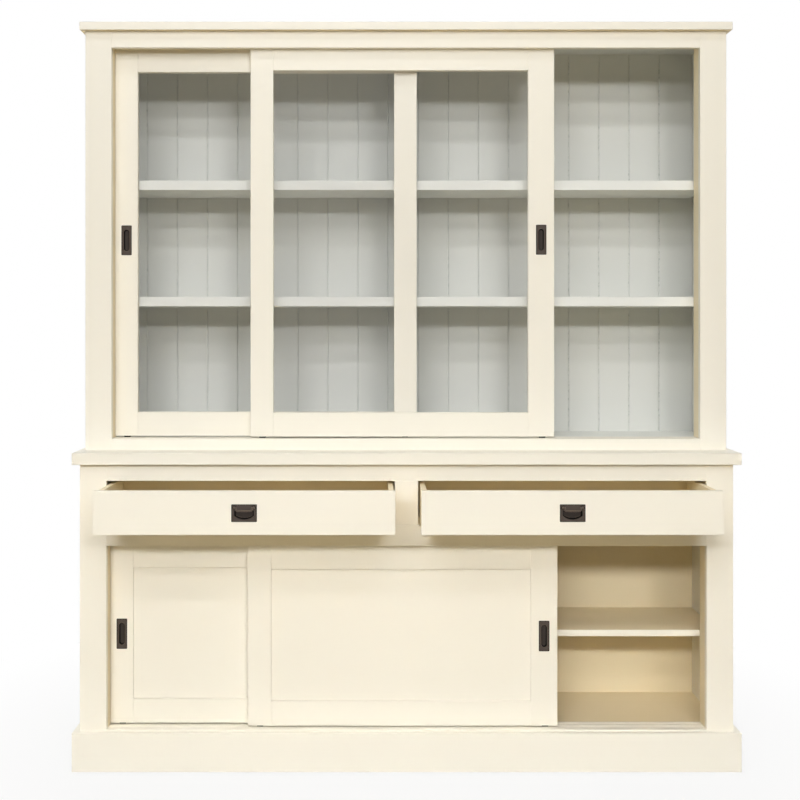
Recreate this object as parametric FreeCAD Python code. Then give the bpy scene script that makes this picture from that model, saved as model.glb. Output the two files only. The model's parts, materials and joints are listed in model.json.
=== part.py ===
import FreeCAD, Part
import os

# A wide painted dining-room cabinet. The base has two drawers over a cupboard, and the
# glazed hutch on top has shelves. Both cupboards close with a pair of doors that slide past
# each other on small wheels. X runs along the width, the front faces -Y and Z is up.
# The origin is on the floor under the middle of the worktop. All sizes are in millimetres.

# Overall form
body_width = 1960.0
base_depth = 430.0
hutch_setback = 75.0
overhang = 20.0
crown_side_overhang = 14.0

# Heights of what shows on the front, from the floor up
skirting_height = 116.0
sill_reveal = 5.0
cupboard_height = 551.0
mid_rail_height = 61.0
drawer_opening_height = 134.0
base_top_rail_height = 50.0
worktop_thick = 35.0
hutch_bottom_rail_height = 35.0
hutch_opening_height = 1196.0
hutch_top_rail_height = 51.0
crown_thick = 24.0

# Boards
post_width = 80.0
divider_width = 70.0
frame_thick = 22.0
base_bottom_rail_height = 61.0
carcase_thick = 20.0
floor_step = 6.0
back_thick = 12.0
back_rabbet = 10.0
bearer_width = 40.0
edge_ease = 0.8

# Face frame joints
tenon_thick = 8.0
tenon_length = 30.0
tenon_shoulder = 9.0
mortise_end_gap = 1.0
divider_tenon = 12.0
joint_play = 0.1

# Tongue-and-groove boards of the hutch back
board_pitch = 100.0
board_vee = 2.5
board_tongue_thick = 4.0
board_tongue_length = 6.0
board_tongue_play = 0.3

# Shelves and the brackets that carry them
base_shelf_top = 397.0
base_shelf_thick = 20.0
base_shelf_setback = 100.0
hutch_shelf_tops = (1423.0, 1786.0)
hutch_shelf_thick = 30.0
hutch_shelf_setback = 85.0
shelf_side_gap = 1.0
shelf_back_gap = 1.0
bracket_reach = 12.0
bracket_drop = 16.0
bracket_width = 12.0
bracket_thick = 2.0
bracket_end_inset = 45.0

# Sliding doors and the channel that they run in
door_thick = 24.0
front_door_gap = 1.0
door_spacing = 5.0
rear_door_gap = 4.0
door_jamb_gap = 1.0
door_lift = 4.5
door_head_lap = 10.0
front_lock_stile = 80.0
rear_lock_stile = 70.0
meeting_stile = 70.0
door_bottom_rail = 74.0
hutch_door_top_rail = 75.0
base_door_top_rail = 85.0
door_groove_depth = 10.0
glass_thick = 4.0
panel_thick = 8.0
fill_edge_gap = 1.0
jamb_thick = 20.0
guide_thick = 26.0
guide_gap = 2.0
door_tongue_thick = 10.0
door_tongue_height = 10.0
door_tongue_play = 0.7
door_tongue_headroom = 2.0
hutch_front_door_open = 442.0
base_front_door_open = 443.0

# Wheels under the doors
wheel_radius = 12.0
wheel_width = 5.0
wheel_inset = 36.0
track_depth = 4.0
track_width = 6.4
track_gap = 0.3
axle_radius = 2.0
axle_play = 0.05
housing_length = 34.0
housing_width = 10.0
housing_height = 24.0
housing_wall = 1.5

# Drawers
drawer_open = 200.0
drawer_front_thick = 22.0
drawer_front_side_gap = 2.0
drawer_front_bottom_gap = 4.0
drawer_front_top_gap = 5.0
drawer_box_length = 350.0
drawer_side_gap = 5.5
drawer_side_thick = 15.0
drawer_side_drop = 5.0
drawer_back_thick = 12.0
drawer_bottom_thick = 6.0
drawer_bottom_rise = 12.0
drawer_groove_depth = 6.0
runner_thick = 20.0
runner_gap = 0.3
runner_guide_height = 20.0
runner_guide_gap = 0.5

# Flush pulls let into the doors
flush_width = 32.0
flush_height = 92.0
flush_cup_width = 17.0
flush_cup_height = 67.0
flush_cup_depth = 9.0
flush_corner = 2.5
hutch_pull_rise = 5.0
base_pull_drop = 7.5

# Drop pulls let into the drawer fronts
drop_width = 73.0
drop_height = 50.0
drop_cup_width = 57.0
drop_cup_above = 7.7
drop_cup_below = 18.6
drop_cup_side = 15.5
drop_cup_depth = 12.0
drop_corner = 2.0
bail_radius = 2.6
bail_span = 44.8
bail_drop = 9.0
bail_bend = 7.0
bail_ease = 1.0
bail_pivot_above = 15.5
bail_pivot_out = 4.0
trunnion_radius = 1.4
trunnion_play = 0.06
ear_width = 5.0
ear_gap = 0.4
ear_radius = 3.2
ear_end_wall = 1.0

# Sheet of both kinds of pull
pull_plate_thick = 2.0
pull_plate_proud = 0.8
pull_wall = 1.2
pull_cup_bevel = 3.0

# Levels, worked out from the floor up
cupboard_floor_line = skirting_height + sill_reveal
cupboard_top = cupboard_floor_line + cupboard_height
drawer_floor = cupboard_top + mid_rail_height
drawer_head = drawer_floor + drawer_opening_height
worktop_under = drawer_head + base_top_rail_height
worktop_top = worktop_under + worktop_thick
hutch_sill_top = worktop_top + hutch_bottom_rail_height
hutch_head = hutch_sill_top + hutch_opening_height
crown_under = hutch_head + hutch_top_rail_height
crown_top = crown_under + crown_thick
base_floor_top = cupboard_floor_line - floor_step
base_floor_under = base_floor_top - carcase_thick
hutch_floor_top = worktop_top + hutch_shelf_thick

# Places across the width and through the depth
half_body = body_width / 2
half_opening = half_body - post_width
half_inside = half_body - carcase_thick
half_back = half_inside + back_rabbet
half_partition = carcase_thick / 2
half_divider = divider_width / 2
back_y = (base_depth + overhang) / 2
back_face = back_y - back_thick
base_front = back_y - base_depth
hutch_front = base_front + hutch_setback
channel_depth = front_door_gap + 2 * door_thick + door_spacing + rear_door_gap
door_width = half_opening - door_jamb_gap + meeting_stile / 2


def vec(x, y, z):
    return FreeCAD.Vector(x, y, z)


def block(x, y, z):
    """Rectangular solid between the limit pairs x, y and z."""
    sizes = [high - low for low, high in (x, y, z)]
    return Part.makeBox(*sizes, vec(x[0], y[0], z[0]))


def board(x, y, z):
    """Rectangular board with every edge lightly eased."""
    solid = block(x, y, z)
    return solid.makeChamfer(edge_ease, solid.Edges)


def prism(points, axis, limits):
    """Solid with a polygon outline, run along one axis between two limits."""
    low, high = limits
    corner = {
        "x": lambda a, b: vec(low, a, b),
        "y": lambda a, b: vec(a, low, b),
        "z": lambda a, b: vec(a, b, low),
    }[axis]
    run = {"x": vec(high - low, 0, 0), "y": vec(0, high - low, 0), "z": vec(0, 0, high - low)}[axis]
    ring = [corner(a, b) for a, b in points]
    return Part.Face(Part.makePolygon(ring + ring[:1])).extrude(run)


def rod(start, direction, radius, length):
    return Part.makeCylinder(radius, length, start, direction)


def mirrored(solid):
    """The same piece on the other side of the middle."""
    return solid.mirror(vec(0, 0, 0), vec(1, 0, 0))


def joined(first, others):
    return first.fuse(others).removeSplitter()


def grown(limits, play):
    return (limits[0] - play, limits[1] + play)


def save(node, *solids):
    Part.makeCompound(list(solids)).exportStep(f"parts/{node}.step")


def frame_band(front):
    """Depth that a face frame takes up behind its front."""
    return (front, front + frame_thick)


def tenon_band(front):
    centre = front + frame_thick / 2
    return (centre - tenon_thick / 2, centre + tenon_thick / 2)


def tenon_height(z):
    return (z[0] + tenon_shoulder, z[1] - tenon_shoulder)


def post(front, z, rail_heights):
    """Left post of a face frame, with a mortise for each rail."""
    solid = board((-half_body, -half_opening), frame_band(front), z)
    depth = (-half_opening - tenon_length - mortise_end_gap, -half_opening)
    mortises = [
        block(depth, grown(tenon_band(front), joint_play), grown(tenon_height(rail), joint_play))
        for rail in rail_heights
    ]
    return solid.cut(mortises)


def rail(front, z):
    """Rail of a face frame, with a tenon at each end."""
    solid = board((-half_opening, half_opening), frame_band(front), z)
    tenons = []
    for end in (-half_opening - tenon_length, half_opening):
        tenons.append(block((end, end + tenon_length), tenon_band(front), tenon_height(z)))
    return joined(solid, tenons)


def divider_tenon_place(z, play):
    half = half_divider - tenon_shoulder
    return block(grown((-half, half), play), grown(tenon_band(base_front), play), z)


def side_panel(front, z):
    """Left side of the base or the hutch, rabbeted for the back."""
    outline = [
        (-half_body, front + frame_thick),
        (-half_inside, front + frame_thick),
        (-half_inside, back_face),
        (-half_back, back_face),
        (-half_back, back_y),
        (-half_body, back_y),
    ]
    return prism(outline, "z", z)


def partition(front, z):
    """Upright between the left and right compartments."""
    return block((-half_partition, half_partition), (front, back_face), z)


def bracket_rows(front, setback):
    """Front and rear places of the brackets under a shelf."""
    return (front + setback + bracket_end_inset, back_face - shelf_back_gap - bracket_end_inset)


def bracket(face_x, outward, y, shelf_under):
    """Folded angle bracket on a wall at face_x: its flat top carries the shelf."""
    tip = face_x + outward * bracket_reach
    inner = face_x + outward * bracket_thick
    outline = [
        (face_x, shelf_under),
        (tip, shelf_under),
        (tip, shelf_under - bracket_thick),
        (inner, shelf_under - bracket_thick),
        (inner, shelf_under - bracket_drop),
        (face_x, shelf_under - bracket_drop),
    ]
    return prism(outline, "y", (y - bracket_width / 2, y + bracket_width / 2))


def shelf_brackets(front, setback, shelf_under):
    """Four brackets under the left shelf and four under the right one."""
    brackets = []
    for y in bracket_rows(front, setback):
        outer = bracket(-half_inside, 1, y, shelf_under)
        inner = bracket(-half_partition, -1, y, shelf_under)
        brackets += [outer, inner, mirrored(outer), mirrored(inner)]
    return brackets


def shelf(front, setback, top, thick):
    """Left shelf, lying between the side and the partition."""
    x = (-half_inside + shelf_side_gap, -half_partition - shelf_side_gap)
    return board(x, (front + setback, back_face - shelf_back_gap), (top - thick, top))


def door_band(front, rear):
    """Depth that a front or rear door takes up in its channel."""
    face = front + frame_thick + front_door_gap + (door_thick + door_spacing) * rear
    return (face, face + door_thick)


def middle(limits):
    return (limits[0] + limits[1]) / 2


def channel_band(front):
    return (front + frame_thick, front + frame_thick + channel_depth)


def notched_profile(y, z_flat, z_far, z_notch, centres, width):
    """Outline of a strip with a straight groove at each centre in its z_flat face."""
    points = [(y[0], z_flat)]
    for centre in centres:
        low, high = centre - width / 2, centre + width / 2
        points += [(low, z_flat), (low, z_notch), (high, z_notch), (high, z_flat)]
    return points + [(y[1], z_flat), (y[1], z_far), (y[0], z_far)]


def track_centres(front):
    return [middle(door_band(front, rear)) for rear in (False, True)]


def door_sill(front, top, under):
    """Sill under the doors, with a wheel track for each."""
    outline = notched_profile(
        channel_band(front), top, under, top - track_depth, track_centres(front), track_width
    )
    return prism(outline, "x", (-half_inside, half_inside))


def guide_under(opening_top):
    return opening_top + door_head_lap + guide_gap


def door_guide(front, opening_top):
    """Strip over the doors, with a groove for the tongue of each."""
    under = guide_under(opening_top)
    notch = under + door_tongue_height - guide_gap + door_tongue_headroom
    width = door_tongue_thick + 2 * door_tongue_play
    outline = notched_profile(
        channel_band(front), under, under + guide_thick, notch, track_centres(front), width
    )
    return prism(outline, "x", (-half_inside, half_inside))


def door_jamb(front, sill_top, opening_top):
    x = (-half_opening - jamb_thick, -half_opening)
    return block(x, channel_band(front), (sill_top, guide_under(opening_top)))


def wheel_centre_z(sill_top):
    return sill_top - track_depth + track_gap + wheel_radius


class Door:
    """One sliding door, in place: its frame, its pane or panel, its pull and its wheels."""

    def __init__(self, front, rear, left, sill_top, opening_top, top_rail, fill_thick, pull_rise):
        self.rear = rear
        self.x = (left, left + door_width)
        self.y = door_band(front, rear)
        self.z = (sill_top + door_lift, opening_top + door_head_lap)
        self.mid_y = middle(self.y)
        self.sill_top = sill_top
        self.top_rail = top_rail
        self.fill_thick = fill_thick
        widths = (rear_lock_stile, meeting_stile) if rear else (meeting_stile, front_lock_stile)
        self.inner = (self.x[0] + widths[0], self.x[1] - widths[1])
        lock = (self.x[0], self.inner[0]) if rear else (self.inner[1], self.x[1])
        self.pull_centre = (middle(lock), middle(self.z) + pull_rise)
        self.wheel_x = (self.x[0] + wheel_inset, self.x[1] - wheel_inset)

    def band(self, thick):
        return (self.mid_y - thick / 2, self.mid_y + thick / 2)

    def tongue(self, x):
        return block(x, self.band(door_tongue_thick), (self.z[1], self.z[1] + door_tongue_height))

    def housing_space(self, x):
        half = housing_length / 2
        z = (self.z[0], self.z[0] + housing_height)
        return block((x - half, x + half), self.band(housing_width), z)

    def stile(self, x, groove_x, wheel_x):
        """Upright of the frame: grooved on its inner edge, tongued on top, mortised for a wheel."""
        solid = joined(board(x, self.y, self.z), [self.tongue(x)])
        groove = block(groove_x, grown(self.band(self.fill_thick), joint_play), self.z)
        solid = solid.cut([groove, self.housing_space(wheel_x)])
        if x[0] <= self.pull_centre[0] <= x[1]:
            solid = solid.cut(flush_pull_space(*self.pull_centre, self.y[0]))
        return solid

    def cross_rail(self, z, groove_z, tenon_z):
        """Rail of the frame: grooved for the fill, with a tenon in the groove of each stile."""
        solid = board(self.inner, self.y, z)
        tenon_x = grown(self.inner, door_groove_depth)
        solid = joined(solid, [block(tenon_x, self.band(self.fill_thick), tenon_z)])
        groove = block(tenon_x, grown(self.band(self.fill_thick), joint_play), groove_z)
        return solid.cut(groove)

    def frame(self):
        left, right = self.x
        inner_left, inner_right = self.inner
        low, high = self.z
        left_groove = (inner_left - door_groove_depth, inner_left)
        right_groove = (inner_right, inner_right + door_groove_depth)
        lower = low + door_bottom_rail
        upper = high - self.top_rail
        bottom_seat = lower - door_groove_depth
        top_seat = upper + door_groove_depth
        bottom = self.cross_rail((low, lower), (bottom_seat, lower), (low, bottom_seat))
        top = self.cross_rail((upper, high), (upper, top_seat), (top_seat, high))
        return [
            self.stile((left, inner_left), left_groove, self.wheel_x[0]),
            self.stile((inner_right, right), right_groove, self.wheel_x[1]),
            bottom,
            joined(top, [self.tongue(self.inner)]),
        ]

    def fill(self):
        """Glass pane or wooden panel, standing on the bottom of its groove."""
        x = grown(self.inner, door_groove_depth - fill_edge_gap)
        low = self.z[0] + door_bottom_rail - door_groove_depth
        high = self.z[1] - self.top_rail + door_groove_depth - fill_edge_gap
        return block(x, self.band(self.fill_thick), (low, high))

    def wheel_centre(self, x):
        return vec(x, self.mid_y, wheel_centre_z(self.sill_top))

    def housing(self, x):
        """Folded steel box in the bottom of a stile, with the axle across it."""
        solid = self.housing_space(x)
        half = housing_length / 2 - housing_wall
        z = (self.z[0], self.z[0] + housing_height - housing_wall)
        inside = block((x - half, x + half), self.band(housing_width - 2 * housing_wall), z)
        start = self.wheel_centre(x) - vec(0, housing_width / 2 - housing_wall / 2, 0)
        axle = rod(start, vec(0, 1, 0), axle_radius, housing_width - housing_wall)
        return joined(solid.cut(inside), [axle])

    def wheel(self, x):
        """Plain wheel, bored for its axle."""
        start = self.wheel_centre(x) - vec(0, wheel_width / 2, 0)
        disc = rod(start, vec(0, 1, 0), wheel_radius, wheel_width)
        return disc.cut(rod(start, vec(0, 1, 0), axle_radius + axle_play, wheel_width))

    def write(self, name, fill_name):
        save(f"{name}_frame", *self.frame())
        save(f"{name}_{fill_name}", self.fill())
        save(f"{name}_pull", flush_pull(*self.pull_centre, self.y[0]))
        save(f"{name}_wheel_housings", *[self.housing(x) for x in self.wheel_x])
        for side, x in zip(("left", "right"), self.wheel_x):
            save(f"{name}_{side}_wheel", self.wheel(x))


def back_edges(solid, y):
    """Edges of a solid that lie in the plane at depth y."""
    return [edge for edge in solid.Edges if all(abs(v.Y - y) < 0.001 for v in edge.Vertexes)]


def rounded_plate(x, z, width, height, corner, y):
    """Upright plate centred on x and z with rounded corners, its front at depth y."""
    half_w, half_h = width / 2, height / 2
    plate = block((x - half_w, x + half_w), (y, y + pull_plate_thick), (z - half_h, z + half_h))
    corners = [edge for edge in plate.Edges if abs(edge.tangentAt(0).y) > 0.5]
    return plate.makeFillet(corner, corners)


def slot_solid(x, z, width, height, y, depth):
    """Upright slot with half-round ends, run back from depth y."""
    radius = width / 2
    reach = height / 2 - radius
    top_left, top_right = vec(x - radius, y, z + reach), vec(x + radius, y, z + reach)
    low_left, low_right = vec(x - radius, y, z - reach), vec(x + radius, y, z - reach)
    edges = [
        Part.Arc(top_left, vec(x, y, z + height / 2), top_right).toShape(),
        Part.makeLine(top_right, low_right),
        Part.Arc(low_right, vec(x, y, z - height / 2), low_left).toShape(),
        Part.makeLine(low_left, top_left),
    ]
    return Part.Face(Part.Wire(edges)).extrude(vec(0, depth, 0))


def half_moon(x, z, spread, y, depth):
    """Half-moon recess of a drop pull, grown all round by spread and run back from depth y."""
    half = drop_cup_width / 2 + spread
    top = z + drop_cup_above + spread
    shoulder = z + drop_cup_above - drop_cup_side
    bottom = z - drop_cup_below - spread
    edges = [
        Part.makeLine(vec(x + half, y, top), vec(x - half, y, top)),
        Part.makeLine(vec(x - half, y, top), vec(x - half, y, shoulder)),
        Part.Arc(vec(x - half, y, shoulder), vec(x, y, bottom), vec(x + half, y, shoulder)).toShape(),
        Part.makeLine(vec(x + half, y, shoulder), vec(x + half, y, top)),
    ]
    return Part.Face(Part.Wire(edges)).extrude(vec(0, depth, 0))


def cup(outer, inner, inner_back):
    """Pressed cup: the inner hollow narrows at its floor."""
    hollow = inner.makeChamfer(pull_cup_bevel, back_edges(inner, inner_back))
    return outer.cut(hollow)


def flush_pull(x, z, face):
    """Flush pull: a plate with a slot-shaped finger cup behind it."""
    front = face - pull_plate_proud
    plate = rounded_plate(x, z, flush_width, flush_height, flush_corner, front)
    outer_width = flush_cup_width + 2 * pull_wall
    outer_height = flush_cup_height + 2 * pull_wall
    outer_depth = flush_cup_depth + pull_wall - pull_plate_thick
    outer = slot_solid(x, z, outer_width, outer_height, front + pull_plate_thick, outer_depth)
    inner = slot_solid(x, z, flush_cup_width, flush_cup_height, front, flush_cup_depth)
    return cup(joined(plate, [outer]), inner, front + flush_cup_depth)


def flush_pull_space(x, z, face):
    """What is cut from a stile so that a flush pull seats in it."""
    plate_width = flush_width + 2 * joint_play
    plate_height = flush_height + 2 * joint_play
    plate = rounded_plate(x, z, plate_width, plate_height, flush_corner, face - pull_plate_proud)
    width = flush_cup_width + 2 * (pull_wall + joint_play)
    height = flush_cup_height + 2 * (pull_wall + joint_play)
    depth = flush_cup_depth + pull_wall - pull_plate_proud + joint_play
    return [plate, slot_solid(x, z, width, height, face, depth)]


def ear(x, z, plate_front):
    """Ear of a drop pull: a round-nosed lug bored for one end of the bail."""
    low, high = x - ear_width / 2, x + ear_width / 2
    pivot_y = plate_front - bail_pivot_out
    nose = rod(vec(low, pivot_y, z), vec(1, 0, 0), ear_radius, ear_width)
    neck = block((low, high), (pivot_y, plate_front), (z - ear_radius, z + ear_radius))
    bore = rod(vec(low, pivot_y, z), vec(1, 0, 0), trunnion_radius + trunnion_play, ear_width)
    return nose.fuse(neck).removeSplitter().cut(bore)


def ear_places(x):
    reach = bail_span / 2 + bail_radius + ear_gap + ear_width / 2
    return (x - reach, x + reach)


def drop_pull(x, z, face):
    """Plate of a drop pull: half-moon finger cup and two ears for the bail."""
    front = face - pull_plate_proud
    plate = rounded_plate(x, z, drop_width, drop_height, drop_corner, front)
    outer_depth = drop_cup_depth + pull_wall - pull_plate_thick
    outer = half_moon(x, z, pull_wall, front + pull_plate_thick, outer_depth)
    inner = half_moon(x, z, 0, front, drop_cup_depth)
    pressed = cup(joined(plate, [outer]), inner, front + drop_cup_depth)
    return joined(pressed, [ear(place, z + bail_pivot_above, front) for place in ear_places(x)])


def drop_pull_space(x, z, face):
    """What is cut from a drawer front so that a drop pull seats in it."""
    plate_width = drop_width + 2 * joint_play
    plate_height = drop_height + 2 * joint_play
    plate = rounded_plate(x, z, plate_width, plate_height, drop_corner, face - pull_plate_proud)
    depth = drop_cup_depth + pull_wall - pull_plate_proud + joint_play
    return [plate, half_moon(x, z, pull_wall + joint_play, face, depth)]


def bail(x, z, face):
    """Hanging bail of a drop pull: a cast loop with rounded corners and a thin end in each ear."""
    y = face - pull_plate_proud - bail_pivot_out
    pivot_z = z + bail_pivot_above
    half = bail_span / 2
    span = (x - half, x + half)
    depth = (y - bail_radius, y + bail_radius)
    outer_z = (pivot_z - bail_drop - bail_radius, pivot_z + bail_radius)
    inner_z = (pivot_z - bail_drop + bail_radius, pivot_z + bail_radius)
    outer = foot_rounded(block(grown(span, bail_radius), depth, outer_z), bail_bend)
    inner = foot_rounded(block(grown(span, -bail_radius), depth, inner_z), bail_bend - 2 * bail_radius)
    loop = outer.cut(inner)
    fronts = [edge for edge in loop.Edges if abs(abs(edge.CenterOfMass.y - y) - bail_radius) < 0.001]
    loop = loop.makeChamfer(bail_ease, fronts)
    reach = bail_radius + ear_gap + ear_width - ear_end_wall
    ends = [
        rod(vec(x - half, y, pivot_z), vec(-1, 0, 0), trunnion_radius, reach),
        rod(vec(x + half, y, pivot_z), vec(1, 0, 0), trunnion_radius, reach),
    ]
    return joined(loop, ends)


def foot_rounded(solid, radius):
    """Block with the two lower edges that run front to back rounded."""
    low = solid.BoundBox.ZMin
    feet = [
        edge for edge in solid.Edges
        if abs(edge.tangentAt(0).y) > 0.5 and abs(edge.CenterOfMass.z - low) < 0.001
    ]
    return solid.makeFillet(radius, feet)


class Drawer:
    """Left drawer, drawn out as far as drawer_open."""

    def __init__(self):
        self.opening = (-half_opening, -half_divider)
        self.face = base_front - drawer_open
        self.x = grown(self.opening, -drawer_front_side_gap)
        self.z = (drawer_floor + drawer_front_bottom_gap, drawer_head - drawer_front_top_gap)
        self.box_x = grown(self.opening, -drawer_side_gap)
        self.box_y = (self.face + drawer_front_thick, self.face + drawer_front_thick + drawer_box_length)
        self.box_z = (self.z[0], self.z[1] - drawer_side_drop)
        low = self.z[0] + drawer_bottom_rise
        self.bottom_z = (low, low + drawer_bottom_thick)
        self.inside = grown(self.box_x, -drawer_side_thick)
        self.bottom_x = grown(self.inside, drawer_groove_depth)
        self.pull_place = (middle(self.x), middle(self.z), self.face)

    def bottom_groove(self, y):
        return block(self.bottom_x, y, grown(self.bottom_z, joint_play))

    def front(self):
        solid = board(self.x, (self.face, self.box_y[0]), self.z)
        groove = self.bottom_groove((self.box_y[0] - drawer_groove_depth, self.box_y[0]))
        return solid.cut([groove] + drop_pull_space(*self.pull_place))

    def box(self):
        """Two grooved sides, the back between them and the bottom that slides in under it."""
        groove = self.bottom_groove(self.box_y)
        left = block((self.box_x[0], self.inside[0]), self.box_y, self.box_z).cut(groove)
        right = block((self.inside[1], self.box_x[1]), self.box_y, self.box_z).cut(groove)
        back_band = (self.box_y[1] - drawer_back_thick, self.box_y[1])
        back = block(self.inside, back_band, (self.bottom_z[1], self.box_z[1]))
        bottom_y = (self.box_y[0] - drawer_groove_depth + joint_play, self.box_y[1])
        bottom = block(grown(self.bottom_x, -joint_play), bottom_y, self.bottom_z)
        return [left, right, back, bottom]

    def runner(self, wall, guide, tip):
        """Rabbeted runner: the drawer side rides on its step and against its guide."""
        step = self.box_z[0] - runner_gap
        outline = [
            (wall, step - runner_thick),
            (tip, step - runner_thick),
            (tip, step),
            (guide, step),
            (guide, step + runner_guide_height),
            (wall, step + runner_guide_height),
        ]
        return prism(outline, "y", (base_front + frame_thick, back_face))

    def runners(self):
        outer = self.runner(-half_inside, self.box_x[0] - runner_guide_gap, self.inside[0])
        inner = self.runner(-half_partition, self.box_x[1] + runner_guide_gap, self.inside[1])
        return [outer, inner]


def back_board(low, high, grooved, tongued):
    """Board of the hutch back: veed on the front, grooved on one edge and tongued on the other."""
    y_mid = back_face + (back_thick + board_vee) / 2
    half = board_tongue_thick / 2
    outline = [(low + board_vee, back_face), (high - board_vee, back_face), (high, back_face + board_vee)]
    if tongued:
        tip = high + board_tongue_length
        outline += [(high, y_mid - half), (tip, y_mid - half), (tip, y_mid + half), (high, y_mid + half)]
    outline += [(high, back_y), (low, back_y)]
    if grooved:
        wide = half + joint_play
        floor = low + board_tongue_length + board_tongue_play
        outline += [(low, y_mid + wide), (floor, y_mid + wide), (floor, y_mid - wide), (low, y_mid - wide)]
    outline += [(low, back_face + board_vee)]
    return prism(outline, "z", (worktop_top, crown_under))


def back_boards():
    """Boards at an even pitch from the middle: the outer two run on into the rabbets."""
    count = round(2 * half_back / board_pitch)
    seams = [(index - count / 2) * board_pitch for index in range(1, count)]
    edges = [-half_back] + seams + [half_back]
    return [
        back_board(edges[index], edges[index + 1], index > 0, index < count - 1)
        for index in range(count)
    ]


def skirting():
    """Skirting round the front and sides, mitred at the front corners."""
    outer, front = half_body + overhang, base_front - overhang
    z = (0, skirting_height)
    front_outline = [(-outer, front), (outer, front), (half_body, base_front), (-half_body, base_front)]
    side_outline = [(-outer, front), (-half_body, base_front), (-half_body, back_y), (-outer, back_y)]
    pieces = []
    for outline, tilt in ((front_outline, vec(0, -1, 0)), (side_outline, vec(-1, 0, 0))):
        solid = prism(outline, "z", z)
        reach = max(v.Point.dot(tilt) for v in solid.Vertexes)
        top_edges = [
            edge for edge in solid.Edges
            if all(v.Z > skirting_height - joint_play and v.Point.dot(tilt) > reach - joint_play
                   for v in edge.Vertexes)
        ]
        pieces.append(solid.makeChamfer(edge_ease, top_edges))
    return pieces + [mirrored(pieces[1])]


def slab(front, side_overhang, z):
    """Worktop or crown: a board that stands out over the body at the front and sides."""
    reach = half_body + side_overhang
    return board((-reach, reach), (front - overhang, back_y), z)


def write_base():
    z = (0, worktop_under)
    bottom_rail_z = (cupboard_floor_line - base_bottom_rail_height, cupboard_floor_line)
    mid_rail_z = (cupboard_top, drawer_floor)
    top_rail_z = (drawer_head, worktop_under)
    side = side_panel(base_front, z)
    left_post = post(base_front, z, (bottom_rail_z, mid_rail_z, top_rail_z))
    save("base_sides", side, mirrored(side))
    save("base_posts", left_post, mirrored(left_post))
    lower_space = divider_tenon_place((drawer_floor - divider_tenon - joint_play, drawer_floor), joint_play)
    upper_space = divider_tenon_place((drawer_head, drawer_head + divider_tenon + joint_play), joint_play)
    save(
        "base_rails",
        rail(base_front, bottom_rail_z),
        rail(base_front, mid_rail_z).cut(lower_space),
        rail(base_front, top_rail_z).cut(upper_space),
    )
    divider = board((-half_divider, half_divider), frame_band(base_front), (drawer_floor, drawer_head))
    tenon = divider_tenon_place((drawer_floor - divider_tenon, drawer_head + divider_tenon), 0)
    save("drawer_divider", joined(divider, [tenon]))
    channel_back = channel_band(base_front)[1]
    floor_z = (base_floor_under, base_floor_top)
    save("base_floor", block((-half_inside, half_inside), (channel_back, back_face), floor_z))
    bearer_y = (base_front + frame_thick, back_face)
    save("floor_bearer", block((-bearer_width / 2, bearer_width / 2), bearer_y, (0, base_floor_under)))
    save("base_partition", partition(channel_back, (base_floor_top, worktop_under)))
    save("base_back", block((-half_back, half_back), (back_face, back_y), (base_floor_under, worktop_under)))
    left_shelf = shelf(base_front, base_shelf_setback, base_shelf_top, base_shelf_thick)
    save("base_shelves", left_shelf, mirrored(left_shelf))
    save("base_sill", door_sill(base_front, cupboard_floor_line, base_floor_under))
    save("base_door_guide", door_guide(base_front, cupboard_top))
    jamb = door_jamb(base_front, cupboard_floor_line, cupboard_top)
    save("base_jambs", jamb, mirrored(jamb))
    save("skirting_boards", *skirting())
    save("worktop", slab(base_front, overhang, (worktop_under, worktop_top)))


def write_hutch():
    z = (worktop_top, crown_under)
    bottom_rail_z = (worktop_top, hutch_sill_top)
    top_rail_z = (hutch_head, crown_under)
    side = side_panel(hutch_front, z)
    left_post = post(hutch_front, z, (bottom_rail_z, top_rail_z))
    save("hutch_sides", side, mirrored(side))
    save("hutch_posts", left_post, mirrored(left_post))
    save("hutch_rails", rail(hutch_front, bottom_rail_z), rail(hutch_front, top_rail_z))
    channel_back = channel_band(hutch_front)[1]
    floor_z = (worktop_top, hutch_floor_top)
    save("hutch_floor", block((-half_inside, half_inside), (channel_back, back_face), floor_z))
    save("hutch_partition", partition(channel_back, (hutch_floor_top, crown_under)))
    save("hutch_back_boards", *back_boards())
    left_shelves = [
        shelf(hutch_front, hutch_shelf_setback, top, hutch_shelf_thick) for top in hutch_shelf_tops
    ]
    save("hutch_shelves", *left_shelves, *[mirrored(solid) for solid in left_shelves])
    save("hutch_sill", door_sill(hutch_front, hutch_sill_top, worktop_top))
    save("hutch_door_guide", door_guide(hutch_front, hutch_head))
    jamb = door_jamb(hutch_front, hutch_sill_top, hutch_head)
    save("hutch_jambs", jamb, mirrored(jamb))
    save("crown_board", slab(hutch_front, crown_side_overhang, (crown_under, crown_top)))


def write_brackets():
    solids = shelf_brackets(base_front, base_shelf_setback, base_shelf_top - base_shelf_thick)
    for top in hutch_shelf_tops:
        solids += shelf_brackets(hutch_front, hutch_shelf_setback, top - hutch_shelf_thick)
    save("shelf_brackets", *solids)


def write_doors():
    closed_left = -half_opening + door_jamb_gap
    closed_right = half_opening - door_jamb_gap - door_width
    base = (cupboard_floor_line, cupboard_top, base_door_top_rail, panel_thick, -base_pull_drop)
    hutch = (hutch_sill_top, hutch_head, hutch_door_top_rail, glass_thick, hutch_pull_rise)
    base_left = closed_right - base_front_door_open
    hutch_left = closed_right - hutch_front_door_open
    Door(base_front, False, base_left, *base).write("base_front_door", "panel")
    Door(base_front, True, closed_left, *base).write("base_rear_door", "panel")
    Door(hutch_front, False, hutch_left, *hutch).write("hutch_front_door", "glass")
    Door(hutch_front, True, closed_left, *hutch).write("hutch_rear_door", "glass")


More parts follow.
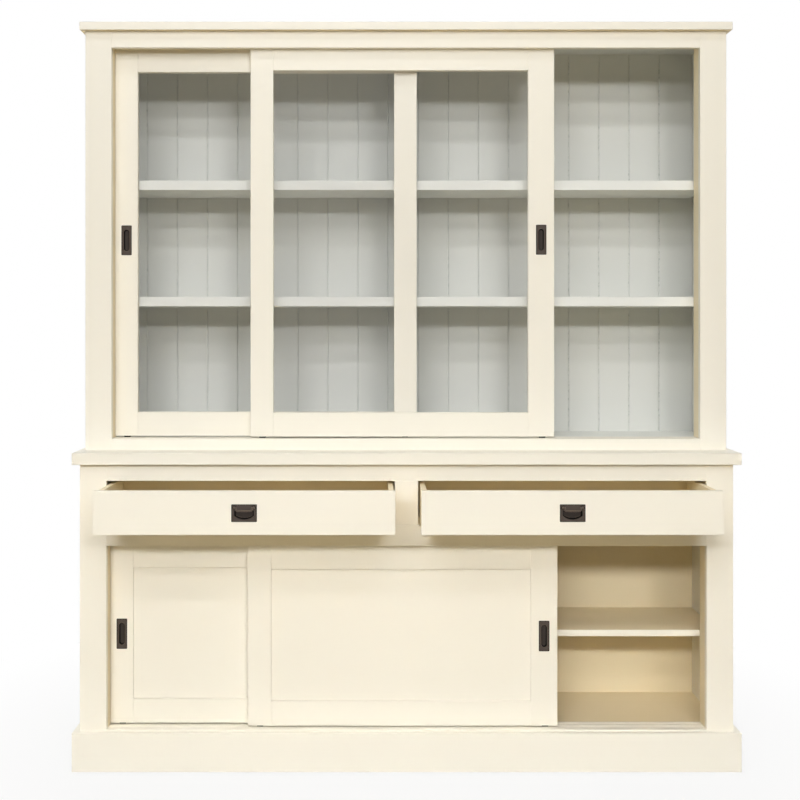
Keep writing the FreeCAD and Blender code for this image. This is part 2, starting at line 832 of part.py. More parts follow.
def write_drawers():
    drawer = Drawer()
    pieces = {
        "front": [drawer.front()],
        "box": drawer.box(),
        "pull": [drop_pull(*drawer.pull_place)],
        "bail": [bail(*drawer.pull_place)],
    }
    for name, solids in pieces.items():
        save(f"left_drawer_{name}", *solids)
        save(f"right_drawer_{name}", *[mirrored(solid) for solid in solids])
    runners = drawer.runners()
    save("drawer_runners", *runners, *[mirrored(solid) for solid in runners])


os.makedirs("parts", exist_ok=True)
write_base()
write_hutch()
write_brackets()
write_doors()
write_drawers()
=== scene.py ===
import json
import math
import random

import bmesh
import bpy
from bpy.props import FloatProperty, FloatVectorProperty, IntProperty, PointerProperty
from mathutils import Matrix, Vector


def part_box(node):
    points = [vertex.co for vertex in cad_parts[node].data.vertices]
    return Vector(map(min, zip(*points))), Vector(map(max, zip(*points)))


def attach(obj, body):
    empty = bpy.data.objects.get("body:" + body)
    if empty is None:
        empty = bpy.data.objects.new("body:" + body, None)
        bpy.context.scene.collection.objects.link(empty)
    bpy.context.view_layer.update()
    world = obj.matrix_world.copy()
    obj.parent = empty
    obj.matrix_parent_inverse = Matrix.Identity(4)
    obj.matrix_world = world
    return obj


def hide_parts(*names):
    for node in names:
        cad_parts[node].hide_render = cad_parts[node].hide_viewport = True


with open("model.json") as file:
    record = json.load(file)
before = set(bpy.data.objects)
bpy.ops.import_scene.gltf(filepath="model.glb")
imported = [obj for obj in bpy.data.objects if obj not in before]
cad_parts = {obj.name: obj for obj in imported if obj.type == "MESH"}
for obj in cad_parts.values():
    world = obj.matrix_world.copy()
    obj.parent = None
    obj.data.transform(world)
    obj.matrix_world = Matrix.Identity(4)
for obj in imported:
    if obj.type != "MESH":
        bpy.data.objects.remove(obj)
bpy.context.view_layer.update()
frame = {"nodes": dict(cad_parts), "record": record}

bl_info = {
    "name": "Sliding-door dining cabinet",
    "version": (1, 0, 0),
    "blender": (4, 5, 0),
    "location": "View3D > Sidebar > Cabinet",
    "description": "Dresses a painted cabinet with a glazed hutch, sliding doors and two drawers",
    "category": "Add Mesh",
}

MM = 0.001
BODIES = frame["record"]["behaviour"]["bodies"]
BODY_OF = {node: body for body, nodes in BODIES.items() for node in nodes}
DOORS = ("base_front_door", "base_rear_door", "hutch_front_door", "hutch_rear_door")
DRAWERS = ("left_drawer", "right_drawer")
SIDES = ("left", "right")

# Fixed boards with one paint all over, by that paint
BOARDS = {
    "cream_lacquer": (
        "skirting_boards", "base_sides", "base_posts", "base_rails", "drawer_divider", "base_sill",
        "hutch_posts", "hutch_rails", "hutch_sill",
    ),
    # Boards in the shade cream, a painted shade on surfaces that lie in shade
    "inner_cream_lacquer": (
        "base_floor", "floor_bearer", "base_partition", "base_door_guide", "base_jambs",
        "drawer_runners", "hutch_door_guide", "hutch_jambs",
    ),
    "flat_grey_paint": ("hutch_partition",),
    "pale_grey_paint": ("hutch_floor", "hutch_shelves"),
}


def linear(colour):
    """An sRGB hex colour such as F4EDDD as linear RGBA."""
    parts = [int(colour[i:i + 2], 16) / 255 for i in (0, 2, 4)]
    return [p / 12.92 if p <= 0.04045 else ((p + 0.055) / 1.055) ** 2.4 for p in parts] + [1.0]


def tint(name, description, colour):
    """Colour property with an sRGB hex default."""
    return FloatVectorProperty(
        name=name, description=description, subtype="COLOR", size=4, min=0, max=1, default=linear(colour)
    )


def length(name, description, millimetres):
    """Length property with a default in millimetres."""
    return FloatProperty(
        name=name, description=description, default=millimetres * MM, unit="LENGTH", subtype="DISTANCE"
    )


class CabinetFinish(bpy.types.PropertyGroup):
    """Colours and surface sizes of the cabinet's finishes."""

    cream: tint("Cream", "Lacquer on everything that shows outside", "F6F1E3")
    # Painted shade: a deeper, yellower copy of the cream on surfaces that lie in shade, inside the base and
    # the drawers, round the doors and under the worktop and the crown
    inner_cream: tint("Inner cream", "Lacquer inside the base and round the doors", "F4E5C2")
    grey: tint("Grey", "Flat paint on the walls of the hutch", "DDDED9")
    shelf_grey: tint("Shelf grey", "Flat paint on the shelves of the hutch", "ECEDE8")
    # Painted shade: a darker grey on the vees between the back boards and on the eased edges of the grey
    # paints
    groove_shade_grey: tint("Groove grey", "The same paint in the grooves between the boards", "A9AEA9")
    # Paler undercoat on the arrises of the creams: wear, and also a painted highlight along those edges
    primer_and_highlight: tint("Primer", "What shows where the lacquer thins on an arris", "FBF7EC")
    bronze: tint("Bronze", "Patina of the pulls", "50463F")
    worn_bronze: tint("Worn bronze", "Rubbed edges of the pulls", "7C6957")
    # Dark oxide in the cups, with painted shade down the cup walls and into the corners of the pulls
    dark_bronze: tint("Dark bronze", "Patina that hands don't reach, in the cups", "1D1C1B")
    zinc: tint("Zinc", "Plating of brackets, screws and wheel housings", "B4B6B4")
    nylon: tint("Nylon", "Wheels under the doors", "26241F")
    stroke_width: length("Stroke width", "Width of one brush mark in the lacquer", 3.0)
    stroke_length: length("Stroke length", "Length of one brush mark in the lacquer", 160.0)
    arris: length("Arris", "How far a sharp board edge is eased", 1.1)
    board_pitch: length("Board pitch", "Spacing of the back boards of the hutch", 100.0)
    board_vee: length("Board vee", "Bevel on the edges of those boards", 2.5)


class CabinetHardware(bpy.types.PropertyGroup):
    """Sizes of the small metalwork."""

    plate_rim: length("Plate rim", "Width of the raised rim round a pull", 1.5)
    rim_step: length("Rim step", "Height of that rim over the plate", 0.5)
    plate_thick: length("Plate thickness", "Sheet of a pull", 2.0)
    plate_proud: length("Plate proud", "How far a pull stands out from the wood", 0.8)
    cup_wall: length("Cup wall", "Sheet of a finger cup", 1.2)
    slot_width: length("Slot width", "Cup of a flush pull across", 17.0)
    slot_height: length("Slot height", "Cup of a flush pull upright", 67.0)
    moon_width: length("Half-moon width", "Cup of a drop pull across", 57.0)
    moon_rise: length("Half-moon rise", "Top of that cup over the middle of its plate", 7.7)
    moon_fall: length("Half-moon fall", "Bottom of that cup under the middle of its plate", 18.6)
    moon_side: length("Half-moon side", "Straight side of that cup", 15.5)
    ear_spread: length("Ear spread", "Each ear from the middle of its plate", 27.9)
    ear_width: length("Ear width", "Length of an ear along the pivot", 5.0)
    ear_radius: length("Ear radius", "Nose of an ear", 3.18)
    bail_span: length("Bail span", "Distance between the legs of a bail", 44.8)
    bail_drop: length("Bail drop", "Grip of a bail under its pivot", 9.0)
    bail_bend: length("Bail bend", "Bend between a leg and the grip", 4.4)
    bail_radius: length("Bail radius", "Half the thickness of a bail", 2.3)
    trunnion_reach: length("Trunnion reach", "Length of the thin end of a bail", 6.0)
    trunnion_radius: length("Trunnion radius", "Half the thickness of that end", 1.4)
    screw_radius: length("Screw radius", "Head of a screw in the base back", 3.2)
    bracket_screw_radius: length("Bracket screw radius", "Head of a screw in a bracket", 2.88)
    pin_radius: length("Pin radius", "Head of a pin through the back boards", 2.2)
    pin_rows: IntProperty(name="Pin rows", description="Pins across each back board", default=2, min=1)
    back_screw_pitch: length("Back screw pitch", "Spacing of the screws round the base back", 230.0)


class CabinetStage(bpy.types.PropertyGroup):
    """Studio round the cabinet."""

    floor: tint("Floor", "Boards that the paper ends on", "BFAE88")
    paper: tint("Paper", "Paper under the cabinet and before its plinth", "BCB7AB")
    paper_reach: length("Paper reach", "How far the paper lies before the plinth", 320.0)
    ambient: tint("Ambient", "Light from the room behind the cabinet", "FFFFFF")
    ambient_level: FloatProperty(name="Ambient level", description="Strength of the room light", default=0.15)
    lamp: tint("Lamp", "Colour of the strip lamps", "FFFFFF")
    lamp_level: FloatProperty(name="Lamp level", description="Factor on every lamp", default=1.0)


def finish_of():
    """The finish values of this scene."""
    return bpy.context.scene.cabinet_finish


def hardware_of():
    """The hardware sizes of this scene."""
    return bpy.context.scene.cabinet_hardware


def add(tree, kind, inputs=None, **settings):
    """Add a node with its settings and fill or link its inputs, where a node stands for its first output."""
    node = tree.nodes.new(kind)
    for name, value in settings.items():
        setattr(node, name, value)
    for key, value in (inputs or {}).items():
        if isinstance(value, bpy.types.Node):
            value = next(socket for socket in value.outputs if socket.enabled)
        if isinstance(value, bpy.types.NodeSocket):
            tree.links.new(value, node.inputs[key])
        else:
            node.inputs[key].default_value = value
    return node


def new_object(name, data):
    """Scene object that shows some data."""
    thing = bpy.data.objects.new(name, data)
    bpy.context.scene.collection.objects.link(thing)
    return thing


def new_material(name):
    """Empty node material, with its tree."""
    material = bpy.data.materials.new(name)
    material.use_nodes = True
    material.node_tree.nodes.clear()
    return material, material.node_tree


# Paints: slot in the record, property of the colour, property of the arris colour (undercoat wear and a
# painted highlight on the creams, painted shade on the greys), roughness, and depth of the brush marks in mm
PAINTS = {
    "cream_lacquer": ("cream_paint", "cream", "primer_and_highlight", 0.42, 0.03),
    # Shade cream: the cream deepened as a painted shade
    "inner_cream_lacquer": ("cream_paint", "inner_cream", "primer_and_highlight", 0.5, 0.03),
    "flat_grey_paint": ("grey_paint", "grey", "groove_shade_grey", 0.6, 0.04),
    "pale_grey_paint": ("grey_paint", "shelf_grey", "groove_shade_grey", 0.55, 0.04),
}


def painted_wood(name):
    """Brushed paint: satin to matt, with faint strokes along each board; its arrises take another colour,
    a paler undercoat for wear with a painted highlight on the creams, and a painted shade on the greys.
    """
    finish = finish_of()
    _, own, edge_property, roughness, stroke_depth = PAINTS[name]
    colour, edge_colour = tuple(getattr(finish, own)), tuple(getattr(finish, edge_property))
    cloud_size, speck_size, cloud_share, rough_swing = 180 * MM, 9 * MM, 0.06, 0.06
    material, tree = new_material(name)
    board = add(tree, "ShaderNodeAttribute", attribute_name="board").outputs["Vector"]
    arris = add(tree, "ShaderNodeAttribute", attribute_name="arris").outputs["Fac"]
    across = 1 / finish.stroke_width
    along = 1 / finish.stroke_length
    stretched = add(tree, "ShaderNodeMapping", {"Vector": board, "Scale": (along, across, across)})
    strokes = add(tree, "ShaderNodeTexNoise", {"Vector": stretched, "Scale": 1.0, "Detail": 3.0})
    cloud = add(tree, "ShaderNodeTexNoise", {"Vector": board, "Scale": 1 / cloud_size, "Detail": 2.0})
    speck = add(tree, "ShaderNodeTexNoise", {"Vector": board, "Scale": 1 / speck_size, "Detail": 4.0})
    paler = add(tree, "ShaderNodeMix", {0: cloud_share, 6: colour, 7: edge_colour}, data_type="RGBA")
    drift = add(tree, "ShaderNodeMix", {0: cloud, 6: colour, 7: paler}, data_type="RGBA")
    edge_amount = add(
        tree, "ShaderNodeMapRange",
        {"Value": speck, "From Min": 0.5, "From Max": 0.72, "To Min": 0.08, "To Max": 0.6},
    )
    # Painted edge light: on the creams a paler undercoat that stands for wear and a painted highlight; on the
    # greys a darker grey that paints shade in the vees between the boards and on their eased edges
    edge_wear_and_light = add(tree, "ShaderNodeMath", {0: edge_amount, 1: arris}, operation="MULTIPLY")
    shown = add(tree, "ShaderNodeMix", {0: edge_wear_and_light, 6: drift, 7: edge_colour}, data_type="RGBA")
    rough = add(
        tree, "ShaderNodeMapRange",
        {"Value": strokes, "To Min": roughness - rough_swing, "To Max": roughness + rough_swing},
    )
    bump = add(tree, "ShaderNodeBump", {"Strength": 0.5, "Distance": stroke_depth * MM, "Height": strokes})
    shader = add(
        tree, "ShaderNodeBsdfPrincipled",
        {"Base Color": shown, "Roughness": rough, "Normal": bump, "IOR": 1.48},
    )
    add(tree, "ShaderNodeOutputMaterial", {"Surface": shader})
    return material


def float_glass():
    """Clear float glass: sharp, little mirrored, and lamps shine straight through it."""
    material, tree = new_material("float_glass")
    glass = add(
        tree, "ShaderNodeBsdfPrincipled",
        {
            "Base Color": linear("FEFEFE"), "Roughness": 0.0, "IOR": 1.5, "Specular IOR Level": 0.2,
            "Transmission Weight": 1.0,
        },
    )
    clear = add(tree, "ShaderNodeBsdfTransparent", {"Color": linear("FEFEFE")})
    path = add(tree, "ShaderNodeLightPath")
    passing = add(
        tree, "ShaderNodeMath",
        {0: path.outputs["Is Shadow Ray"], 1: path.outputs["Is Diffuse Ray"]}, operation="MAXIMUM",
    )
    pane = add(tree, "ShaderNodeMixShader", {0: passing, 1: glass, 2: clear})
    add(tree, "ShaderNodeOutputMaterial", {"Surface": pane})
    return material


def aged_bronze():
    """Cast bronze with dark oxide: low sheen, mottled, browner on rubbed edges, and blacker in the cups from
    oxide and painted shade.
    """
    finish = finish_of()
    mottle_size, grain_size, corner_reach = 6 * MM, 0.6 * MM, 7 * MM
    material, tree = new_material("aged_bronze")
    place = add(tree, "ShaderNodeTexCoord").outputs["Object"]
    rim = add(tree, "ShaderNodeAttribute", attribute_name="arris").outputs["Fac"]
    patina = add(tree, "ShaderNodeAttribute", attribute_name="patina").outputs["Fac"]
    # Painted shade: darker where the pull's own faces close in, in the corners of its cups and rims
    open_share = add(
        tree, "ShaderNodeAmbientOcclusion", {"Distance": corner_reach}, samples=8, only_local=True
    ).outputs["AO"]
    corner = add(
        tree, "ShaderNodeMapRange",
        {"Value": open_share, "From Min": 0.5, "From Max": 0.95, "To Min": 1.0, "To Max": 0.0},
    )
    dark = add(tree, "ShaderNodeMath", {0: patina, 1: corner}, operation="MAXIMUM")
    mottle = add(tree, "ShaderNodeTexNoise", {"Vector": place, "Scale": 1 / mottle_size, "Detail": 4.0})
    grain = add(tree, "ShaderNodeTexNoise", {"Vector": place, "Scale": 1 / grain_size, "Detail": 2.0})
    rubbed = add(tree, "ShaderNodeMath", {0: mottle, 1: rim}, operation="MULTIPLY")
    handled = add(
        tree, "ShaderNodeMix",
        {0: rubbed, 6: tuple(finish.bronze), 7: tuple(finish.worn_bronze)}, data_type="RGBA",
    )
    colour = add(
        tree, "ShaderNodeMix", {0: dark, 6: handled, 7: tuple(finish.dark_bronze)}, data_type="RGBA"
    )
    rough = add(tree, "ShaderNodeMapRange", {"Value": mottle, "To Min": 0.4, "To Max": 0.6})
    bump = add(tree, "ShaderNodeBump", {"Strength": 0.4, "Distance": 0.05 * MM, "Height": grain})
    # Painted shade in the sheen too: the darkened faces reflect as a dark metal
    metal = add(tree, "ShaderNodeMapRange", {"Value": dark, "To Min": 0.4, "To Max": 1.0})
    shader = add(
        tree, "ShaderNodeBsdfPrincipled",
        {"Base Color": colour, "Metallic": metal, "Roughness": rough, "Normal": bump},
    )
    add(tree, "ShaderNodeOutputMaterial", {"Surface": shader})
    return material


def zinc_plate():
    """Zinc-plated steel: grey and bright, with the cloudy spangle of the plating."""
    finish = finish_of()
    material, tree = new_material("zinc_plated_steel")
    place = add(tree, "ShaderNodeTexCoord").outputs["Object"]
    spangle = add(tree, "ShaderNodeTexVoronoi", {"Vector": place, "Scale": 1 / (2.5 * MM)})
    rough = add(tree, "ShaderNodeMapRange", {"Value": spangle, "To Min": 0.28, "To Max": 0.5})
    shader = add(
        tree, "ShaderNodeBsdfPrincipled",
        {"Base Color": tuple(finish.zinc), "Metallic": 1.0, "Roughness": rough},
    )
    add(tree, "ShaderNodeOutputMaterial", {"Surface": shader})
    return material


def moulded_nylon():
    """Moulded nylon: nearly black and matt, with a fine grain from the mould."""
    material, tree = new_material("moulded_nylon")
    place = add(tree, "ShaderNodeTexCoord").outputs["Object"]
    grain = add(tree, "ShaderNodeTexNoise", {"Vector": place, "Scale": 1 / (0.5 * MM), "Detail": 2.0})
    bump = add(tree, "ShaderNodeBump", {"Strength": 0.3, "Distance": 0.04 * MM, "Height": grain})
    shader = add(
        tree, "ShaderNodeBsdfPrincipled",
        {"Base Color": tuple(finish_of().nylon), "Roughness": 0.55, "Normal": bump},
    )
    add(tree, "ShaderNodeOutputMaterial", {"Surface": shader})
    return material


MAKERS = {
    "float_glass": float_glass, "aged_bronze": aged_bronze, "zinc_plated_steel": zinc_plate,
    "moulded_nylon": moulded_nylon,
}


def material_of(name):
    """The named finish, made the first time that it is asked for."""
    made = bpy.data.materials.get(name)
    if made:
        return made
    return painted_wood(name) if name in PAINTS else MAKERS[name]()


def islands(bm):
    """Separate shells of a mesh, each as a list of its vertices."""
    bm.verts.ensure_lookup_table()
    seen, shells = set(), []
    for start in bm.verts:
        if start.index in seen:
            continue
        shell, queue = [], [start]
        seen.add(start.index)
        while queue:
            vert = queue.pop()
            shell.append(vert)
            for edge in vert.link_edges:
                other = edge.other_vert(vert)
                if other.index not in seen:
                    seen.add(other.index)
                    queue.append(other)
        shells.append(shell)
    return shells


def limits(verts):
    """Lowest and highest corner of some vertices."""
    return [Vector([pick(v.co[axis] for v in verts) for axis in range(3)]) for pick in (min, max)]


def cad_copy(node):
    """Editable copy of a node's mesh, board by board, with shared corners and whole flat faces."""
    mesh = frame["nodes"][node].data
    bm = bmesh.new()
    corners, unmatched = {}, set()
    for polygon in mesh.polygons:
        keys = [tuple(round(part, 6) for part in mesh.vertices[i].co) for i in polygon.vertices]
        if len(set(keys)) < len(keys):
            continue
        for key in keys:
            if key not in corners:
                corners[key] = bm.verts.new(key)
        bm.faces.new([corners[key] for key in keys])
        unmatched ^= {(a, b) if a < b else (b, a) for a, b in zip(keys, keys[1:] + keys[:1])}
        if not unmatched:
            # every edge has found its partner, so this board is closed and the next one starts
            corners = {}
    bmesh.ops.dissolve_limit(bm, angle_limit=math.radians(0.2), verts=bm.verts, edges=bm.edges)
    return bm


# How far the edges of panes and sheet metal are ground
SHEET_EASE = 0.4 * MM


def ease_arrises(bm, width):
    """Round the outer edges of each board that are still square."""
    tolerance = 0.02 * MM
    square = []
    for shell in islands(bm):
        low, high = limits(shell)
        for edge in {e for v in shell for e in v.link_edges}:
            flush = sum(
                all(abs(v.co[axis] - low[axis]) < tolerance for v in edge.verts)
                or all(abs(v.co[axis] - high[axis]) < tolerance for v in edge.verts)
                for axis in range(3)
            )
            if flush >= 2:
                square.append(edge)
    bmesh.ops.bevel(bm, geom=square, offset=width, segments=2, profile=0.5, affect="EDGES")


# Cosine to an axis above which a face counts as flat
BOARD_FLAT, METAL_FLAT = 0.98, 0.97


def mark_arrises(bm, flat):
    """Mark the faces that lie square to no axis."""
    arris = bm.faces.layers.float.new("arris")
    for face in bm.faces:
        face.normal_update()
        face[arris] = 0.0 if max(abs(part) for part in face.normal) > flat else 1.0


def mark_boards(bm):
    """Give every board its own coordinates, the first along its length, and mark its eased edges."""
    board = bm.verts.layers.float_vector.new("board")
    shift = random.Random(7)
    for shell in islands(bm):
        low, high = limits(shell)
        order = sorted(range(3), key=lambda axis: low[axis] - high[axis])
        offset = Vector([shift.uniform(-5, 5) for _ in range(3)])
        for vert in shell:
            vert[board] = Vector([vert.co[axis] for axis in order]) + offset
    mark_arrises(bm, BOARD_FLAT)


def close_up(bm, gap):
    """Weld the points of a mesh that lie within a gap, and turn its faces outward."""
    bmesh.ops.remove_doubles(bm, verts=bm.verts, dist=gap)
    bmesh.ops.recalc_face_normals(bm, faces=bm.faces)


def to_object(bm, name, materials):
    """Turn a mesh under construction into a scene object that carries some finishes."""
    mesh = bpy.data.meshes.new(name)
    bm.to_mesh(mesh)
    bm.free()
    for material in materials:
        mesh.materials.append(material_of(material))
    return new_object(name, mesh)


def settle(piece):
    """Apply a piece's modifiers to its mesh."""
    depsgraph = bpy.context.evaluated_depsgraph_get()
    mesh = bpy.data.meshes.new_from_object(
        piece.evaluated_get(depsgraph), preserve_all_data_layers=True, depsgraph=depsgraph
    )
    piece.modifiers.clear()
    piece.data = mesh
    mesh.name = piece.name


# Angles up to which shading stays smooth, in degrees
BOARD_SMOOTH, METAL_SMOOTH, FIXING_SMOOTH, VEE_SMOOTH = 50, 40, 35, 30


def smooth(piece, angle):
    """Smooth shading up to an angle, led by the large faces."""
    piece.data.polygons.foreach_set("use_smooth", [True] * len(piece.data.polygons))
    piece.data.set_sharp_from_angle(angle=math.radians(angle))
    weighted = piece.modifiers.new("weighted", "WEIGHTED_NORMAL")
    weighted.keep_sharp = True
    settle(piece)


def seat(piece, slot, body, *nodes):
    """Let a piece ride on a body and stand for its nodes; the slot is not used."""
    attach(piece, body)
    if nodes:
        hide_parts(*nodes)
    return piece


def painted_board(node, paint, prepare=None):
    """Painted piece that stands for a node of one or more boards."""
    bm = cad_copy(node)
    ease_arrises(bm, finish_of().arris)
    mark_boards(bm)
    materials = [paint]
    if prepare:
        materials += prepare(bm)
    piece = to_object(bm, f"painted_{node}", materials)
    smooth(piece, BOARD_SMOOTH)
    return seat(piece, PAINTS[paint][0], BODY_OF[node], node)


def paint_facing(way, limit, paint):
    """What gives another paint to the faces of a board that look one way, up to a limit of the cosine."""
    def prepare(bm):
        for face in bm.faces:
            if face.normal.dot(Vector(way)) > limit:
                face.material_index = 1
        return [paint]

    return prepare


def grey_ceiling(bm):
    """Paint the crown board grey where it closes the hutch, and in the shade cream, a painted shade, where it
    hangs over.
    """
    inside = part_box("hutch_floor")
    planes = [((x, 0, 0), (1, 0, 0)) for x in (inside[0].x, inside[1].x)]
    planes += [((0, y, 0), (0, 1, 0)) for y in (inside[0].y, inside[1].y)]
    for point, across in planes:
        whole = bm.verts[:] + bm.edges[:] + bm.faces[:]
        bmesh.ops.bisect_plane(bm, geom=whole, plane_co=point, plane_no=across)
    for face in bm.faces:
        centre = face.calc_center_median()
        within = all(inside[0][axis] < centre[axis] < inside[1][axis] for axis in (0, 1))
        if face.normal.z < -0.9:
            face.material_index = 1 if within else 2
    return ["flat_grey_paint", "inner_cream_lacquer"]


def grey_inner_faces(bm):
    """Paint the faces of the hutch sides that look into the hutch grey."""
    inner = min(abs(v.co.x) for v in bm.verts)
    for face in bm.faces:
        looks_in = face.normal.x * face.calc_center_median().x < 0
        if looks_in and abs(abs(face.calc_center_median().x) - inner) < MM:
            face.material_index = 1
    return ["flat_grey_paint"]


def new_tree(name, sockets):
    """Geometry node group with named inputs after its geometry."""
    tree = bpy.data.node_groups.new(name, "GeometryNodeTree")
    tree.interface.new_socket("Geometry", in_out="INPUT", socket_type="NodeSocketGeometry")
    for label, kind in sockets:
        tree.interface.new_socket(label, in_out="INPUT", socket_type=f"NodeSocket{kind}")
    tree.interface.new_socket("Geometry", in_out="OUTPUT", socket_type="NodeSocketGeometry")
    return tree, add(tree, "NodeGroupInput").outputs


def close_tree(tree, geometry, material):
    """End a tree: instances become real geometry with one material."""
    real = add(tree, "GeometryNodeRealizeInstances", {"Geometry": geometry})
    painted = add(tree, "GeometryNodeSetMaterial", {"Geometry": real, "Material": material})
    add(tree, "NodeGroupOutput", {"Geometry": painted})


def run_tree(piece, tree, values):
    """Run a tree on a piece with its named inputs set, and keep the result as a plain mesh."""
    modifier = piece.modifiers.new(tree.name, "NODES")
    modifier.node_group = tree
    for item in tree.interface.items_tree:
        if item.in_out == "INPUT" and item.name in values:
            modifier[item.identifier] = values[item.name]
    settle(piece)


def board_row_tree():
    """Row of equal boards with veed edges; the outer two are wider."""
    tree, given = new_tree("board_row", [
        ("Boards", "Int"), ("Pitch", "Float"), ("End Width", "Float"), ("Thickness", "Float"),
        ("Height", "Float"), ("Vee", "Float"), ("Material", "Material"),
    ])
    across = {"Width": given["Pitch"], "Height": given["Thickness"]}
    outline = add(tree, "GeometryNodeCurvePrimitiveQuadrilateral", across)
    veed = add(
        tree, "GeometryNodeFilletCurve", {"Curve": outline, "Count": 1, "Radius": given["Vee"]}, mode="POLY"
    )
    top = add(tree, "ShaderNodeCombineXYZ", {"Z": given["Height"]})
    upright = add(tree, "GeometryNodeCurvePrimitiveLine", {"End": top})
    board = add(
        tree, "GeometryNodeCurveToMesh", {"Curve": upright, "Profile Curve": veed, "Fill Caps": True}
    )
    values = {name: given[name] for name in ("Boards", "Pitch", "End Width")}
    values["index"] = add(tree, "GeometryNodeInputIndex")
    for result, operation, one, other in (
        ("last", "SUBTRACT", "Boards", 1.0),
        ("half", "MULTIPLY", "last", 0.5),
        ("from_middle", "SUBTRACT", "index", "half"),
        ("off_middle", "ABSOLUTE", "from_middle", 0.0),
        ("nearly_last", "SUBTRACT", "half", 0.5),
        ("is_end", "GREATER_THAN", "off_middle", "nearly_last"),
        ("extra", "SUBTRACT", "End Width", "Pitch"),
        ("half_extra", "MULTIPLY", "extra", 0.5),
        ("way", "SIGN", "from_middle", 0.0),
        ("end_way", "MULTIPLY", "way", "is_end"),
        ("outward", "MULTIPLY", "end_way", "half_extra"),
        ("even", "MULTIPLY", "from_middle", "Pitch"),
        ("place", "ADD", "even", "outward"),
        ("ratio", "DIVIDE", "End Width", "Pitch"),
    ):
        inputs = {0: values.get(one, one), 1: values.get(other, other)}
        values[result] = add(tree, "ShaderNodeMath", inputs, operation=operation)
    spot = add(tree, "ShaderNodeCombineXYZ", {"X": values["place"]})
    row = add(tree, "GeometryNodeMeshLine", {"Count": given["Boards"]})
    spread = add(tree, "GeometryNodeSetPosition", {"Geometry": row, "Position": spot})
    wider = add(tree, "ShaderNodeMix", {0: values["is_end"], 2: 1.0, 3: values["ratio"]})
    scale = add(tree, "ShaderNodeCombineXYZ", {"X": wider, "Y": 1.0, "Z": 1.0})
    boards = add(
        tree, "GeometryNodeInstanceOnPoints", {"Points": spread, "Instance": board, "Scale": scale}
    )
    close_tree(tree, boards, given["Material"])
    return tree


def scatter_tree():
    """One small part on every point, its +Y axis turned to the point's facing."""
    tree, given = new_tree("scatter", [("Part", "Object"), ("Size", "Float"), ("Material", "Material")])
    info = add(tree, "GeometryNodeObjectInfo", {"Object": given["Part"], "As Instance": True})
    facing = add(tree, "GeometryNodeInputNamedAttribute", {"Name": "facing"}, data_type="FLOAT_VECTOR")
    turn = add(tree, "FunctionNodeAlignRotationToVector", {"Vector": facing}, axis="Y", pivot_axis="Z")
    placed = add(
        tree, "GeometryNodeInstanceOnPoints",
        {
            "Points": given["Geometry"], "Instance": info.outputs["Geometry"], "Rotation": turn,
            "Scale": given["Size"],
        },
    )
    close_tree(tree, placed, given["Material"])
    return tree


def scatter(name, part, places, size, material):
    """Copies of a part at (point, facing) places, as one plain mesh."""
    mesh = bpy.data.meshes.new(name)
    mesh.from_pydata([point for point, _ in places], [], [])
    facing = mesh.attributes.new("facing", "FLOAT_VECTOR", "POINT")
    facing.data.foreach_set("vector", [axis for _, way in places for axis in way])
    piece = new_object(name, mesh)
    tree = bpy.data.node_groups.get("scatter") or scatter_tree()
    run_tree(piece, tree, {"Part": part, "Size": size, "Material": material_of(material)})
    smooth(piece, FIXING_SMOOTH)
    return piece


def skin(bm, rings, closed=False):
    """Quads between rings of vertices, capped at both ends or closed on themselves."""
    loops = [[bm.verts.new(point) for point in ring] for ring in rings]
    pairs = list(zip(loops, loops[1:] + loops[:1])) if closed else list(zip(loops, loops[1:]))
    for one, other in pairs:
        for i in range(len(one)):
            j = (i + 1) % len(one)
            bm.faces.new((one[i], one[j], other[j], other[i]))
    if not closed:
        bm.faces.new(loops[0])
        bm.faces.new(loops[-1])


# How dark faces are painted: rim of a plate (oxide), floor of a cup and down its walls (oxide and painted
# shade)
RIM_PATINA, FLOOR_PATINA_AND_SHADE, WALL_PATINA_AND_SHADE = 0.9, 0.45, 1.0


def plate_darkness(centre, half_width, half_height, cup_from):
    """How dark a face of a pull is painted: oxide on the rim, oxide and painted shade in the cup."""
    rim = hardware_of().plate_rim

    def share(face):
        spot = face.calc_center_median()
        if spot.y > cup_from:
            return FLOOR_PATINA_AND_SHADE if face.normal.y < -0.9 else WALL_PATINA_AND_SHADE
        from_edge = min(half_width - abs(spot.x - centre[0]), half_height - abs(spot.z - centre[1]))
        return RIM_PATINA if from_edge < rim else 0.0

    return share


def metal_piece(bm, name, material, darkness_of=None):
    """Close up a mesh made of rings: outward faces, marked edges, oxide and painted shade, and smooth
    shading.
    """
    close_up(bm, 0.001 * MM)
    mark_arrises(bm, METAL_FLAT)
    patina = bm.faces.layers.float.new("patina")
    for face in bm.faces:
        face[patina] = darkness_of(face) if darkness_of else 0.0
    piece = to_object(bm, name, [material])
    smooth(piece, METAL_SMOOTH)
    return piece


CORNER_STEPS = 8


def corner_arc(centre, radius, start):
    """Quarter turn of points about a centre, clockwise from an angle in degrees."""
    angles = [math.radians(start - 90 * i / CORNER_STEPS) for i in range(CORNER_STEPS + 1)]
    return [(centre[0] + radius * math.cos(a), centre[1] + radius * math.sin(a)) for a in angles]


def full_turn(sides):
    """Even angles round a circle."""
    return [2 * math.pi * k / sides for k in range(sides)]


def rounded_outline(half_width, half_height, radius):
    """Rectangle with round corners, clockwise from its top left corner."""
    x, z = half_width - radius, half_height - radius
    corners = (((-x, z), 180), ((x, z), 90), ((x, -z), 0), ((-x, -z), -90))
    return [point for centre, start in corners for point in corner_arc(centre, radius, start)]


def part_to_copy(name, rings):
    """Small part in no finish of its own, for scattering."""
    bm = bmesh.new()
    skin(bm, rings)
    bmesh.ops.recalc_face_normals(bm, faces=bm.faces)
    return to_object(bm, name, [])


